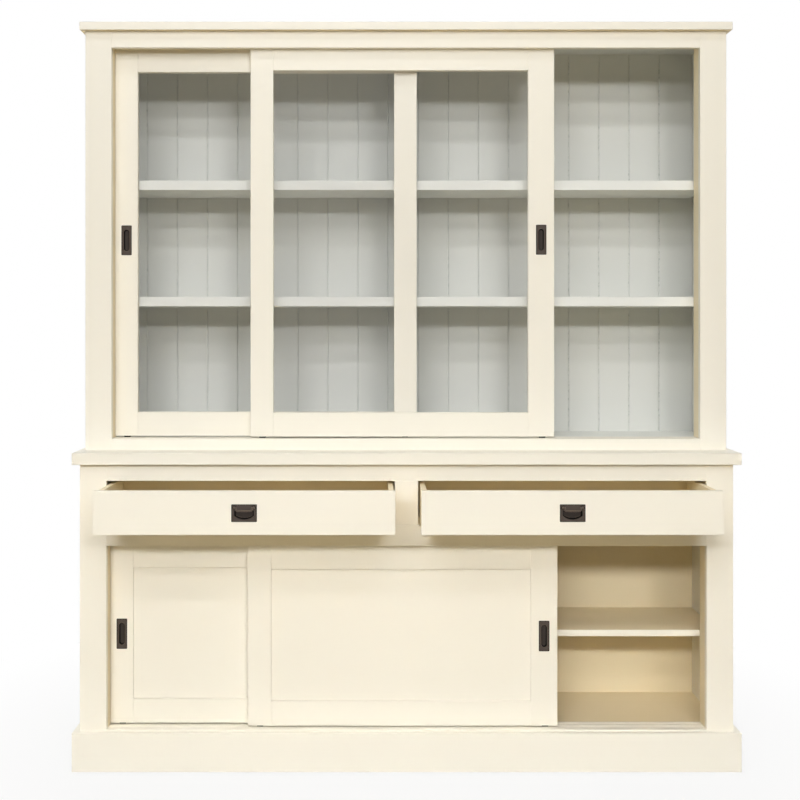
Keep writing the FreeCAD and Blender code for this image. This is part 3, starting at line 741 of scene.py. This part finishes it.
def middle_of(ring):
    """Mean of a ring of points."""
    return sum((Vector(point) for point in ring), Vector()) / len(ring)


def ring_at(outline, centre, y):
    """An outline stood upright at a depth."""
    return [(centre[0] + a, y, centre[1] + b) for a, b in outline]


# Corner radii of the plates in mm, one for each ring over the edge from the back to the field
FLUSH_CORNERS = (2.5, 2.5, 2.4, 2.2, 1.6, 1.2)
DROP_CORNERS = (2.0, 2.0, 1.9, 1.7, 1.3, 1.0)
# Mouths of the cups: growth over the cup's outline and depth under the field of the plate, in mm
FLUSH_MOUTH = ((1.9, 0.0), (1.4, -0.35), (0.8, -0.4), (0.2, 0.0), (0.0, 0.9), (-0.2, 5.1), (-1.0, 6.9))
DROP_MOUTH = ((1.2, 0.0), (0.5, 0.15), (0.0, 0.7), (-0.3, 5.5))
# Floors of the cups: growth over the outline and height over the floor, in mm
FLUSH_FLOOR = ((-2.6, 0.5), (-5.0, 0.0), (-7.5, 0.0))
DROP_FLOOR = ((-1.4, 2.0), (-3.4, 0.5), (-5.5, 0.0), (-7.5, 0.0))


def slot_outline(spread):
    """Finger recess of a flush pull: upright, with round ends."""
    ware = hardware_of()
    half = ware.slot_width / 2 + spread
    return rounded_outline(half, ware.slot_height / 2 + spread, half)


def half_moon_outline(spread):
    """Finger recess of a drop pull: flat top, short sides and one arc below."""
    ware = hardware_of()
    half, top = ware.moon_width / 2 + spread, ware.moon_rise + spread
    shoulder, bottom = ware.moon_rise - ware.moon_side, -ware.moon_fall - spread
    small = 1.2 * MM
    rise = shoulder - bottom
    radius = (half * half + rise * rise) / (2 * rise)
    reach = math.degrees(math.asin(half / radius))
    lower = []
    for i in range(2 * (CORNER_STEPS + 1)):
        angle = math.radians(-90 + reach * (1 - 2 * i / (2 * CORNER_STEPS + 1)))
        lower.append((radius * math.cos(angle), bottom + radius + radius * math.sin(angle)))
    upper_left = corner_arc((-half + small, top - small), small, 180)
    upper_right = corner_arc((half - small, top - small), small, 90)
    return upper_left + upper_right + lower


def pressed_plate(node, front, cup, corners, mouth, floor, tuck, cup_from):
    """Mesh and middle of a rimmed plate with a finger cup behind it, and what says where oxide and painted
    shade lie.
    """
    ware = hardware_of()
    low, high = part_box(node)
    centre = ((low.x + high.x) / 2, (low.z + high.z) / 2)
    half_w, half_h = (high.x - low.x) / 2, (high.z - low.z) / 2
    field = front + ware.rim_step
    edge = (
        (0.0, ware.plate_thick), (0.0, 0.6 * MM), (0.2 * MM, 0.2 * MM), (0.6 * MM, 0.0),
        (ware.plate_rim, 0.0), (ware.plate_rim + 0.5 * MM, ware.rim_step),
    )
    rings = [(cup(-tuck), high.y)]
    rings += [(cup(ware.cup_wall), y) for y in (high.y - 1.0 * MM, front + ware.plate_thick)]
    rings += [
        (rounded_outline(half_w - inset, half_h - inset, corner * MM), front + depth)
        for (inset, depth), corner in zip(edge, corners)
    ]
    rings += [(cup(growth * MM), field + depth * MM) for growth, depth in mouth]
    rings += [(cup(growth * MM), high.y - ware.cup_wall - rise * MM) for growth, rise in floor]
    bm = bmesh.new()
    skin(bm, [ring_at(outline, centre, y) for outline, y in rings])
    return bm, centre, plate_darkness(centre, half_w, half_h, field + cup_from)


def flush_pull(door):
    """Flush pull of a door: rimmed plate with a beaded slot and a dished finger cup."""
    node = f"{door}_pull"
    bm, _, darkness_of = pressed_plate(
        node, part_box(node)[0].y, slot_outline, FLUSH_CORNERS, FLUSH_MOUTH, FLUSH_FLOOR, 1.0 * MM, 0.3 * MM
    )
    return metal_piece(bm, f"cast_{door}_pull", "aged_bronze", darkness_of)


def drop_plate(drawer):
    """Plate of a drop pull: raised rim, half-moon cup and two ears for the bail."""
    ware = hardware_of()
    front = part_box(f"{drawer}_front")[0].y - ware.plate_proud
    bm, centre, darkness_of = pressed_plate(
        f"{drawer}_pull", front, half_moon_outline, DROP_CORNERS, DROP_MOUTH, DROP_FLOOR, 2.0 * MM, 0.6 * MM
    )
    pivot = bail_pivot(drawer)
    for side in (-1, 1):
        ear(bm, centre[0] + side * ware.ear_spread, pivot, front + ware.rim_step)
    return metal_piece(bm, f"cast_{drawer}_pull", "aged_bronze", darkness_of)


def bail_pivot(drawer):
    """Depth and height of the axis that a bail swings about."""
    joints = frame["record"]["behaviour"]["joints"]
    point = next(joint["pos_m"] for joint in joints if joint["name"] == f"{drawer}_bail_lift")
    return point[1:]


def ear(bm, x, pivot, back):
    """Round-nosed lug that holds one end of a bail."""
    ware = hardware_of()
    radius, half, ease = ware.ear_radius, ware.ear_width / 2, 0.4 * MM

    def outline(shrink):
        nose = radius - shrink
        turns = [math.radians(90 + 180 * i / 12) for i in range(13)]
        arc = [(pivot[0] + nose * math.cos(a), pivot[1] + nose * math.sin(a)) for a in turns]
        return arc + [(back, pivot[1] - nose), (back, pivot[1] + nose)]

    rings = []
    for offset, shrink in ((-half, ease), (-half + ease, 0), (half - ease, 0), (half, ease)):
        rings.append([(x + offset, y, z) for y, z in outline(shrink)])
    skin(bm, rings)


def bail_path(half, drop, bend):
    """Centre line of a bail in its own plane, down one leg, along the grip and up the other."""
    left_leg = [(-half, 0.0), (-half, -(drop - bend) * 0.5)]
    left_bend = [
        (-half + bend * (1 - math.cos(a)), -drop + bend * (1 - math.sin(a)))
        for a in (math.radians(90 * i / 8) for i in range(9))
    ]
    grip = [(half * t, -drop) for t in (-0.4, 0.0)]
    left = left_leg + left_bend + grip
    return left + [(-x, z) for x, z in reversed(left[:-1])]


def bail(drawer):
    """Cast bail: round legs that swell into a thicker grip, with a pin into each ear."""
    pivot_y, pivot_z = bail_pivot(drawer)
    low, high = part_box(f"{drawer}_bail")
    middle = (low.x + high.x) / 2
    ware = hardware_of()
    half, bend, radius = ware.bail_span / 2, ware.bail_bend, ware.bail_radius
    path = bail_path(half, ware.bail_drop, bend)
    grip_swell = 0.12
    rings = []
    for i, (x, z) in enumerate(path):
        before, after = path[max(i - 1, 0)], path[min(i + 1, len(path) - 1)]
        tangent = Vector((after[0] - before[0], 0, after[1] - before[1])).normalized()
        normal = Vector((-tangent.z, 0, tangent.x))
        swell = 1 + grip_swell * max(0.0, 1 - abs(x) / (half - bend)) ** 0.5
        centre = Vector((middle + x, pivot_y, pivot_z + z))
        rings.append([
            centre + normal * radius * swell * math.cos(a) + Vector((0, radius * math.sin(a), 0))
            for a in full_turn(14)
        ])
    for end, neighbour in ((0, 1), (-1, -2)):
        tip = middle_of(rings[end])
        lift = (tip - middle_of(rings[neighbour])).normalized()
        cap = [
            [tip + (Vector(p) - tip) * math.cos(a) + lift * radius * math.sin(a) for p in rings[end]]
            for a in (math.radians(d) for d in (30, 60, 85))
        ]
        rings = list(reversed(cap)) + rings if end == 0 else rings + cap
    bm = bmesh.new()
    skin(bm, rings)
    for side in (-1, 1):
        pin(bm, middle + side * half, side * ware.trunnion_reach, (pivot_y, pivot_z), ware.trunnion_radius)
    return metal_piece(bm, f"cast_{drawer}_bail", "aged_bronze")


def pin(bm, x, reach, axis, radius):
    """Short round pin along X."""
    rings = []
    for share, shrink in ((0, 1), (0.92, 1), (1, 0.75)):
        end, nose = x + reach * share, radius * shrink
        rings.append([
            (end, axis[0] + nose * math.cos(a), axis[1] + nose * math.sin(a)) for a in full_turn(12)
        ])
    skin(bm, rings)


# Half a wheel from its bore to its web and rim: radius and depth under the side face, in mm
WHEEL_SIDE = ((2.05, 0.0), (4.4, 0.0), (4.8, 0.4), (5.2, 0.9), (9.0, 0.9), (9.5, 0.0))


def wheel(node):
    """Small door wheel: round tread, sunk web and raised hub, bored for its axle."""
    low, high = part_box(node)
    centre = (low + high) / 2
    radius, half = (high.z - low.z) / 2, (high.y - low.y) / 2
    round_off = 0.7 * MM
    profile = [(r * MM, -half + depth * MM) for r, depth in WHEEL_SIDE]
    profile += [(radius - round_off, -half), (radius, -half + round_off)]
    profile += [(r, -y) for r, y in reversed(profile)]
    rings = [
        [(centre.x + r * math.cos(a), centre.y + y, centre.z + r * math.sin(a)) for a in full_turn(40)]
        for r, y in profile
    ]
    bm = bmesh.new()
    skin(bm, rings, closed=True)
    return metal_piece(bm, f"turned_{node}", "moulded_nylon")


# Height of a screw head for each unit of its radius, and how far down a bracket its screw sits
SCREW_RISE, SCREW_DOWN = 0.36, 0.62


def screw_part():
    """Screw head one unit in radius that looks along +Y, with a cross recess."""
    sides = 12

    def ring(radii, y):
        return [(r * math.cos(a), y, r * math.sin(a)) for a, r in zip(full_turn(sides), radii)]

    cross = [0.62 if k % 3 == 0 else 0.2 for k in range(sides)]
    rings = [
        ring([1.0] * sides, -0.1), ring([1.0] * sides, 0.12), ring([0.72] * sides, SCREW_RISE - 0.02),
        ring(cross, SCREW_RISE), ring([c * 0.8 for c in cross], 0.08),
    ]
    return part_to_copy("screw_part", rings)


def bracket_part(size):
    """Folded bracket of a (reach, drop, width, sheet), its wall face at y 0 and its shelf face at z 0."""
    reach, drop, width, sheet = size
    fold = 2.2 * sheet
    turns = [math.radians(90 * i / 5) for i in range(6)]

    def bend(radius):
        return [(fold - radius * math.sin(a), -fold + radius * math.cos(a)) for a in turns]

    outer = [(reach, 0)] + bend(fold) + [(0, -drop)]
    inner = [(sheet, -drop)] + bend(fold - sheet)[::-1] + [(reach, -sheet)]
    return part_to_copy(
        "bracket_part", [[(x, y, z) for y, z in outer + inner] for x in (-width / 2, width / 2)]
    )


def drop_part(part):
    """Delete a part that was only there to be copied."""
    mesh = part.data
    bpy.data.objects.remove(part)
    bpy.data.meshes.remove(mesh)


class CABINET_OT_stage(bpy.types.Operator):
    """Make the floor, the room, the lamps and the camera"""

    bl_idname = "cabinet.stage"
    bl_label = "Stage"

    def execute(self, context):
        make_floor()
        make_room()
        make_lamps()
        make_camera()
        context.scene.view_settings.view_transform = "Standard"
        return {"FINISHED"}


def unlit_share(tree):
    """1 for rays that see the background: from the camera, in gloss or through glass."""
    path = add(tree, "ShaderNodeLightPath").outputs
    share = path["Is Camera Ray"]
    for ray in ("Is Glossy Ray", "Is Transmission Ray"):
        share = add(tree, "ShaderNodeMath", {0: share, 1: path[ray]}, operation="MAXIMUM")
    return share


def make_floor():
    """Pale floor with paper under the cabinet, which fades into the white room away from it."""
    stage = bpy.context.scene.cabinet_stage
    reach = 14.0
    mesh = bpy.data.meshes.new("floor")
    corners = [(-reach, -reach, 0), (reach, -reach, 0), (reach, reach, 0), (-reach, reach, 0)]
    mesh.from_pydata(corners, [], [(0, 1, 2, 3)])
    material, tree = new_material("studio_paper")
    white = add(tree, "ShaderNodeEmission", {"Color": (1, 1, 1, 1), "Strength": 1.0})
    place = add(tree, "ShaderNodeTexCoord").outputs["Object"]
    depth = add(tree, "ShaderNodeSeparateXYZ", {"Vector": place}).outputs["Y"]
    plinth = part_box("skirting_boards")[0].y
    near = add(
        tree, "ShaderNodeMapRange",
        {"Value": depth, "From Min": plinth - stage.paper_reach, "From Max": plinth - stage.paper_reach / 2},
    )
    cover = add(
        tree, "ShaderNodeMix", {0: near, 6: tuple(stage.floor), 7: tuple(stage.paper)}, data_type="RGBA"
    )
    paper = add(tree, "ShaderNodeBsdfDiffuse", {"Color": cover})
    away = add(tree, "ShaderNodeVectorMath", {0: place}, operation="LENGTH")
    fade = add(
        tree, "ShaderNodeMapRange",
        {"Value": away, "From Min": 0.8, "From Max": 1.9, "To Min": 0.9, "To Max": 1.0},
        interpolation_type="SMOOTHSTEP",
    )
    share = add(tree, "ShaderNodeMath", {0: fade, 1: unlit_share(tree)}, operation="MULTIPLY")
    mix = add(tree, "ShaderNodeMixShader", {0: share, 1: paper, 2: white})
    add(tree, "ShaderNodeOutputMaterial", {"Surface": mix})
    mesh.materials.append(material)
    floor = new_object("floor", mesh)


def make_room():
    """White room that gloss sees dimmer before the cabinet, and light from it on the cabinet's back."""
    stage = bpy.context.scene.cabinet_stage
    world = bpy.data.worlds.new("studio")
    world.use_nodes = True
    tree = world.node_tree
    tree.nodes.clear()
    direction = add(tree, "ShaderNodeTexCoord").outputs["Generated"]
    depth = add(tree, "ShaderNodeSeparateXYZ", {"Vector": direction}).outputs["Y"]
    gloss_level = add(
        tree, "ShaderNodeMapRange",
        {"Value": depth, "From Min": -0.5, "From Max": -0.05, "To Min": 0.35, "To Max": 1.0},
    )
    straight = add(tree, "ShaderNodeLightPath").outputs["Is Camera Ray"]
    seen_level = add(tree, "ShaderNodeMath", {0: straight, 1: gloss_level}, operation="MAXIMUM")
    lit_level = add(
        tree, "ShaderNodeMapRange",
        {"Value": depth, "From Min": -0.1, "From Max": 0.5, "To Min": 0.0, "To Max": stage.ambient_level},
    )
    white = add(tree, "ShaderNodeBackground", {"Color": (1, 1, 1, 1), "Strength": seen_level})
    room = add(tree, "ShaderNodeBackground", {"Color": tuple(stage.ambient), "Strength": lit_level})
    mix = add(tree, "ShaderNodeMixShader", {0: unlit_share(tree), 1: room, 2: white})
    add(tree, "ShaderNodeOutputWorld", {"Surface": mix})
    bpy.context.scene.world = world


# Strip lamps: place, point aimed at, length and height, watts, spread in degrees, seen in gloss
LAMPS = {
    "lamp_right": ((1.95, -7.1, 3.15), (1.95, 0.0, 1.2), (1.7, 0.45), 124.0, 180, False),
    "lamp_left": ((-1.1, -7.1, 3.15), (-1.1, 0.0, 1.2), (2.7, 0.45), 16.0, 180, False),
    "lamp_second": ((-0.6, -5.2, 3.8), (-0.6, 0.0, 1.2), (4.0, 0.25), 56.0, 180, True),
    "lamp_third": ((-0.6, -4.4, 4.5), (-0.6, 0.0, 1.2), (4.0, 0.25), 57.0, 180, True),
    "lamp_over": ((0.0, -2.15, 5.0), (0.0, 0.0, 1.2), (3.5, 0.2), 34.0, 180, True),
    "lamp_middle": ((-1.6, -7.1, 3.15), (0.1, 0.0, 0.3), (4.0, 0.4), 8.0, 45, False),
    "lamp_low": ((-1.6, -7.1, 3.15), (0.1, 0.0, -0.6), (5.0, 0.4), 8.0, 30, False),
    "lamp_side": ((-7.0, -1.3, 1.9), (0.9, -0.1, 1.2), (0.5, 0.5), 6.5, 60, False),
    "lamp_back": ((0.0, 6.5, 3.4), (0.0, 0.0, 1.2), (4.0, 1.0), 140.0, 180, False),
    "lamp_right_end": ((6.0, 0.6, 2.2), (1.0, 0.05, 1.1), (0.8, 0.8), 11.0, 60, False),
    "lamp_left_end": ((-6.0, 0.6, 2.2), (-1.0, 0.05, 1.1), (0.8, 0.8), 11.0, 60, False),
}


def make_lamps():
    """Strip lamps in rows before and over the cabinet, one far left, one behind and one at each end."""
    stage = bpy.context.scene.cabinet_stage
    for name, (place, aim, size, power, spread, glossy) in LAMPS.items():
        data = bpy.data.lights.new(name, "AREA")
        data.shape = "RECTANGLE"
        data.size, data.size_y = size
        data.energy = power * stage.lamp_level
        data.color = stage.lamp[:3]
        data.spread = math.radians(spread)
        lamp = new_object(name, data)
        lamp.location = place
        toward = Vector(aim) - Vector(place)
        lamp.rotation_euler = toward.to_track_quat("-Z", "Y").to_euler()
        lamp.visible_camera = False
        lamp.visible_glossy = glossy
        lamp.visible_transmission = glossy


def make_camera():
    """Level camera a little left of the middle; the shift frames the whole cabinet."""
    data = bpy.data.cameras.new("camera")
    data.lens, data.sensor_width = 58.05, 36.0
    data.shift_x, data.shift_y = 0.035, -0.0938
    camera = new_object("camera", data)
    camera.location = (-0.1035, -4.075, 1.335)
    camera.rotation_euler = (math.radians(90), 0, 0)
    bpy.context.scene.camera = camera


class CABINET_OT_carcase(bpy.types.Operator):
    """Paint the fixed boards of the base and the hutch"""

    bl_idname = "cabinet.carcase"
    bl_label = "Carcase"

    def execute(self, context):
        for paint, nodes in BOARDS.items():
            for node in nodes:
                painted_board(node, paint)
        # The shade cream paints shade on the base shelves but not their lit front edges, on the inner face of
        # the base back, and under the worktop
        front_edge = paint_facing((0, -1, 0), 0.5, "cream_lacquer")
        rear_face = paint_facing((0, 1, 0), 0.5, "cream_lacquer")
        underside = paint_facing((0, 0, -1), 0.9, "inner_cream_lacquer")
        painted_board("base_shelves", "inner_cream_lacquer", front_edge)
        painted_board("base_back", "inner_cream_lacquer", rear_face)
        painted_board("hutch_sides", "cream_lacquer", grey_inner_faces)
        painted_board("worktop", "cream_lacquer", underside)
        painted_board("crown_board", "cream_lacquer", grey_ceiling)
        return {"FINISHED"}


class CABINET_OT_back(bpy.types.Operator):
    """Line the back of the hutch with veed boards"""

    bl_idname = "cabinet.back"
    bl_label = "Back boards"

    def execute(self, context):
        node = "hutch_back_boards"
        low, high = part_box(node)
        pitch = finish_of().board_pitch
        count = round((high.x - low.x) / pitch)
        piece = new_object("veed_back_boards", bpy.data.meshes.new("veed_back_boards"))
        run_tree(piece, board_row_tree(), {
            "Boards": count, "Pitch": pitch, "End Width": (high.x - low.x - (count - 2) * pitch) / 2,
            "Thickness": high.y - low.y, "Height": high.z - low.z, "Vee": finish_of().board_vee,
            "Material": material_of("flat_grey_paint"),
        })
        bm = bmesh.new()
        bm.from_mesh(piece.data)
        middle = (low + high) / 2
        bmesh.ops.translate(bm, verts=bm.verts, vec=(middle.x, middle.y, low.z))
        close_up(bm, 0.01 * MM)
        mark_boards(bm)
        bm.to_mesh(piece.data)
        bm.free()
        smooth(piece, VEE_SMOOTH)
        seat(piece, "grey_paint", BODY_OF[node], node)
        return {"FINISHED"}


class CABINET_OT_doors(bpy.types.Operator):
    """Make the sliding doors: frames, panels and panes"""

    bl_idname = "cabinet.doors"
    bl_label = "Doors"

    def execute(self, context):
        for door in DOORS:
            painted_board(f"{door}_frame", "cream_lacquer")
            if door.startswith("base"):
                painted_board(f"{door}_panel", "cream_lacquer")
            else:
                pane(f"{door}_glass")
        return {"FINISHED"}


def pane(node):
    """Clear pane with ground edges."""
    bm = cad_copy(node)
    ease_arrises(bm, SHEET_EASE)
    piece = to_object(bm, f"clear_{node}", ["float_glass"])
    return seat(piece, "clear_glass", BODY_OF[node], node)


class CABINET_OT_door_pulls(bpy.types.Operator):
    """Let a flush pull into each door"""

    bl_idname = "cabinet.door_pulls"
    bl_label = "Door pulls"

    def execute(self, context):
        for door in DOORS:
            seat(flush_pull(door), "dark_bronze", door, f"{door}_pull")
        return {"FINISHED"}


class CABINET_OT_running_gear(bpy.types.Operator):
    """Put wheels and their housings under the doors"""

    bl_idname = "cabinet.running_gear"
    bl_label = "Running gear"

    def execute(self, context):
        for door in DOORS:
            node = f"{door}_wheel_housings"
            bm = cad_copy(node)
            ease_arrises(bm, SHEET_EASE)
            piece = to_object(bm, f"folded_{node}", ["zinc_plated_steel"])
            smooth(piece, METAL_SMOOTH)
            seat(piece, "zinc_steel", door, node)
            for side in SIDES:
                roller = f"{door}_{side}_wheel"
                seat(wheel(roller), "nylon", roller, roller)
        return {"FINISHED"}


class CABINET_OT_drawers(bpy.types.Operator):
    """Make the two drawers"""

    bl_idname = "cabinet.drawers"
    bl_label = "Drawers"

    def execute(self, context):
        for drawer in DRAWERS:
            painted_board(f"{drawer}_front", "cream_lacquer")
            # Drawer boxes in the shade cream, a painted shade
            painted_board(f"{drawer}_box", "inner_cream_lacquer")
        return {"FINISHED"}


class CABINET_OT_drawer_pulls(bpy.types.Operator):
    """Let a drop pull with a swinging bail into each drawer front"""

    bl_idname = "cabinet.drawer_pulls"
    bl_label = "Drawer pulls"

    def execute(self, context):
        for drawer in DRAWERS:
            seat(drop_plate(drawer), "dark_bronze", drawer, f"{drawer}_pull")
            seat(bail(drawer), "dark_bronze", f"{drawer}_bail", f"{drawer}_bail")
        return {"FINISHED"}


class CABINET_OT_fixings(bpy.types.Operator):
    """Add the shelf brackets, their screws and the fixings of the backs"""

    bl_idname = "cabinet.fixings"
    bl_label = "Fixings"

    def execute(self, context):
        ware = hardware_of()
        screw = screw_part()
        places, size = bracket_places()
        bracket = bracket_part(size)
        piece = scatter("folded_shelf_brackets", bracket, places, 1.0, "zinc_plated_steel")
        seat(piece, "zinc_steel", "cabinet", "shelf_brackets")
        drop_part(bracket)
        _, drop, _, sheet = size
        down = Vector((0, 0, SCREW_DOWN * drop))
        heads = [(point + way * sheet - down, way) for point, way in places]
        for name, spots, radius in (
            ("bracket_screws", heads, ware.bracket_screw_radius),
            ("back_pins", back_pins(), ware.pin_radius),
            ("back_screws", back_screws(), ware.screw_radius),
        ):
            seat(scatter(name, screw, spots, radius, "zinc_plated_steel"), "zinc_steel", "cabinet")
        drop_part(screw)
        return {"FINISHED"}


def bracket_places():
    """Where the shelf brackets stand and which way they face, and their (reach, drop, width, sheet)."""
    bm = cad_copy("shelf_brackets")
    places = []
    for shell in islands(bm):
        low, high = limits(shell)
        foot = [v.co.x for v in shell if v.co.z < low.z + MM]
        near_low = max(foot) - low.x < (high.x - low.x) / 2
        wall = low.x if near_low else high.x
        places.append((Vector((wall, (low.y + high.y) / 2, high.z)), Vector((1 if near_low else -1, 0, 0))))
        size = (high.x - low.x, high.z - low.z, high.y - low.y, max(foot) - min(foot))
    bm.free()
    return places, size


def back_pins():
    """Pins through the back boards into the floor, the shelves and the crown."""
    low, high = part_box("hutch_back_boards")
    shelf_low, shelf_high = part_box("hutch_shelves")
    half_board = 15 * MM
    levels = (low.z + half_board, shelf_low.z + half_board, shelf_high.z - half_board, high.z - half_board)
    pitch = finish_of().board_pitch
    count = round((high.x - low.x) / pitch)
    rows = hardware_of().pin_rows
    spread = 1.1 * pitch
    depth = high.y - SCREW_RISE * hardware_of().pin_radius
    places = []
    for board in range(count):
        for k in range(rows):
            x = (board - (count - 1) / 2) * pitch + ((k + 0.5) / rows - 0.5) * spread
            places += [(Vector((x, depth, z)), Vector((0, 1, 0))) for z in levels]
    return places


def back_screws():
    """Screws round the edge of the base back and down its middle."""
    low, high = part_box("base_back")
    inset = 9 * MM
    pitch = hardware_of().back_screw_pitch
    across = round((high.x - low.x) / pitch)
    up = round((high.z - low.z) / pitch)
    spots = []
    for i in range(across + 1):
        x = low.x + inset + (high.x - low.x - 2 * inset) * i / across
        spots += [(x, low.z + inset), (x, high.z - inset)]
    for i in range(1, up):
        z = low.z + inset + (high.z - low.z - 2 * inset) * i / up
        spots += [(x, z) for x in (low.x + inset, 0.0, high.x - inset)]
    depth = high.y - SCREW_RISE * hardware_of().screw_radius
    return [(Vector((x, depth, z)), Vector((0, 1, 0))) for x, z in spots]


class CABINET_PT_panel(bpy.types.Panel):
    """Lists the cabinet's pieces and finishes"""

    bl_idname = "CABINET_PT_panel"
    bl_label = "Cabinet"
    bl_space_type = "VIEW_3D"
    bl_region_type = "UI"
    bl_category = "Cabinet"

    def draw(self, context):
        for operator in OPERATORS:
            self.layout.operator(operator.bl_idname)
        for group in GROUPS:
            box = self.layout.box()
            for name in GROUPS[group].__annotations__:
                box.prop(getattr(context.scene, group), name)


GROUPS = {
    "cabinet_finish": CabinetFinish,
    "cabinet_hardware": CabinetHardware,
    "cabinet_stage": CabinetStage,
}
OPERATORS = (
    CABINET_OT_stage, CABINET_OT_carcase, CABINET_OT_back, CABINET_OT_doors, CABINET_OT_door_pulls,
    CABINET_OT_running_gear, CABINET_OT_drawers, CABINET_OT_drawer_pulls, CABINET_OT_fixings,
)


def register():
    for name, group in GROUPS.items():
        bpy.utils.register_class(group)
        setattr(bpy.types.Scene, name, PointerProperty(type=group))
    for cls in OPERATORS + (CABINET_PT_panel,):
        bpy.utils.register_class(cls)


def unregister():
    for cls in reversed(OPERATORS + (CABINET_PT_panel,)):
        bpy.utils.unregister_class(cls)
    for name, group in reversed(GROUPS.items()):
        delattr(bpy.types.Scene, name)
        bpy.utils.unregister_class(group)


def main():
    register()
    bpy.ops.cabinet.stage()
    bpy.ops.cabinet.carcase()
    bpy.ops.cabinet.back()
    bpy.ops.cabinet.doors()
    bpy.ops.cabinet.door_pulls()
    bpy.ops.cabinet.running_gear()
    bpy.ops.cabinet.drawers()
    bpy.ops.cabinet.drawer_pulls()
    bpy.ops.cabinet.fixings()


if __name__ == "__main__":
    main()
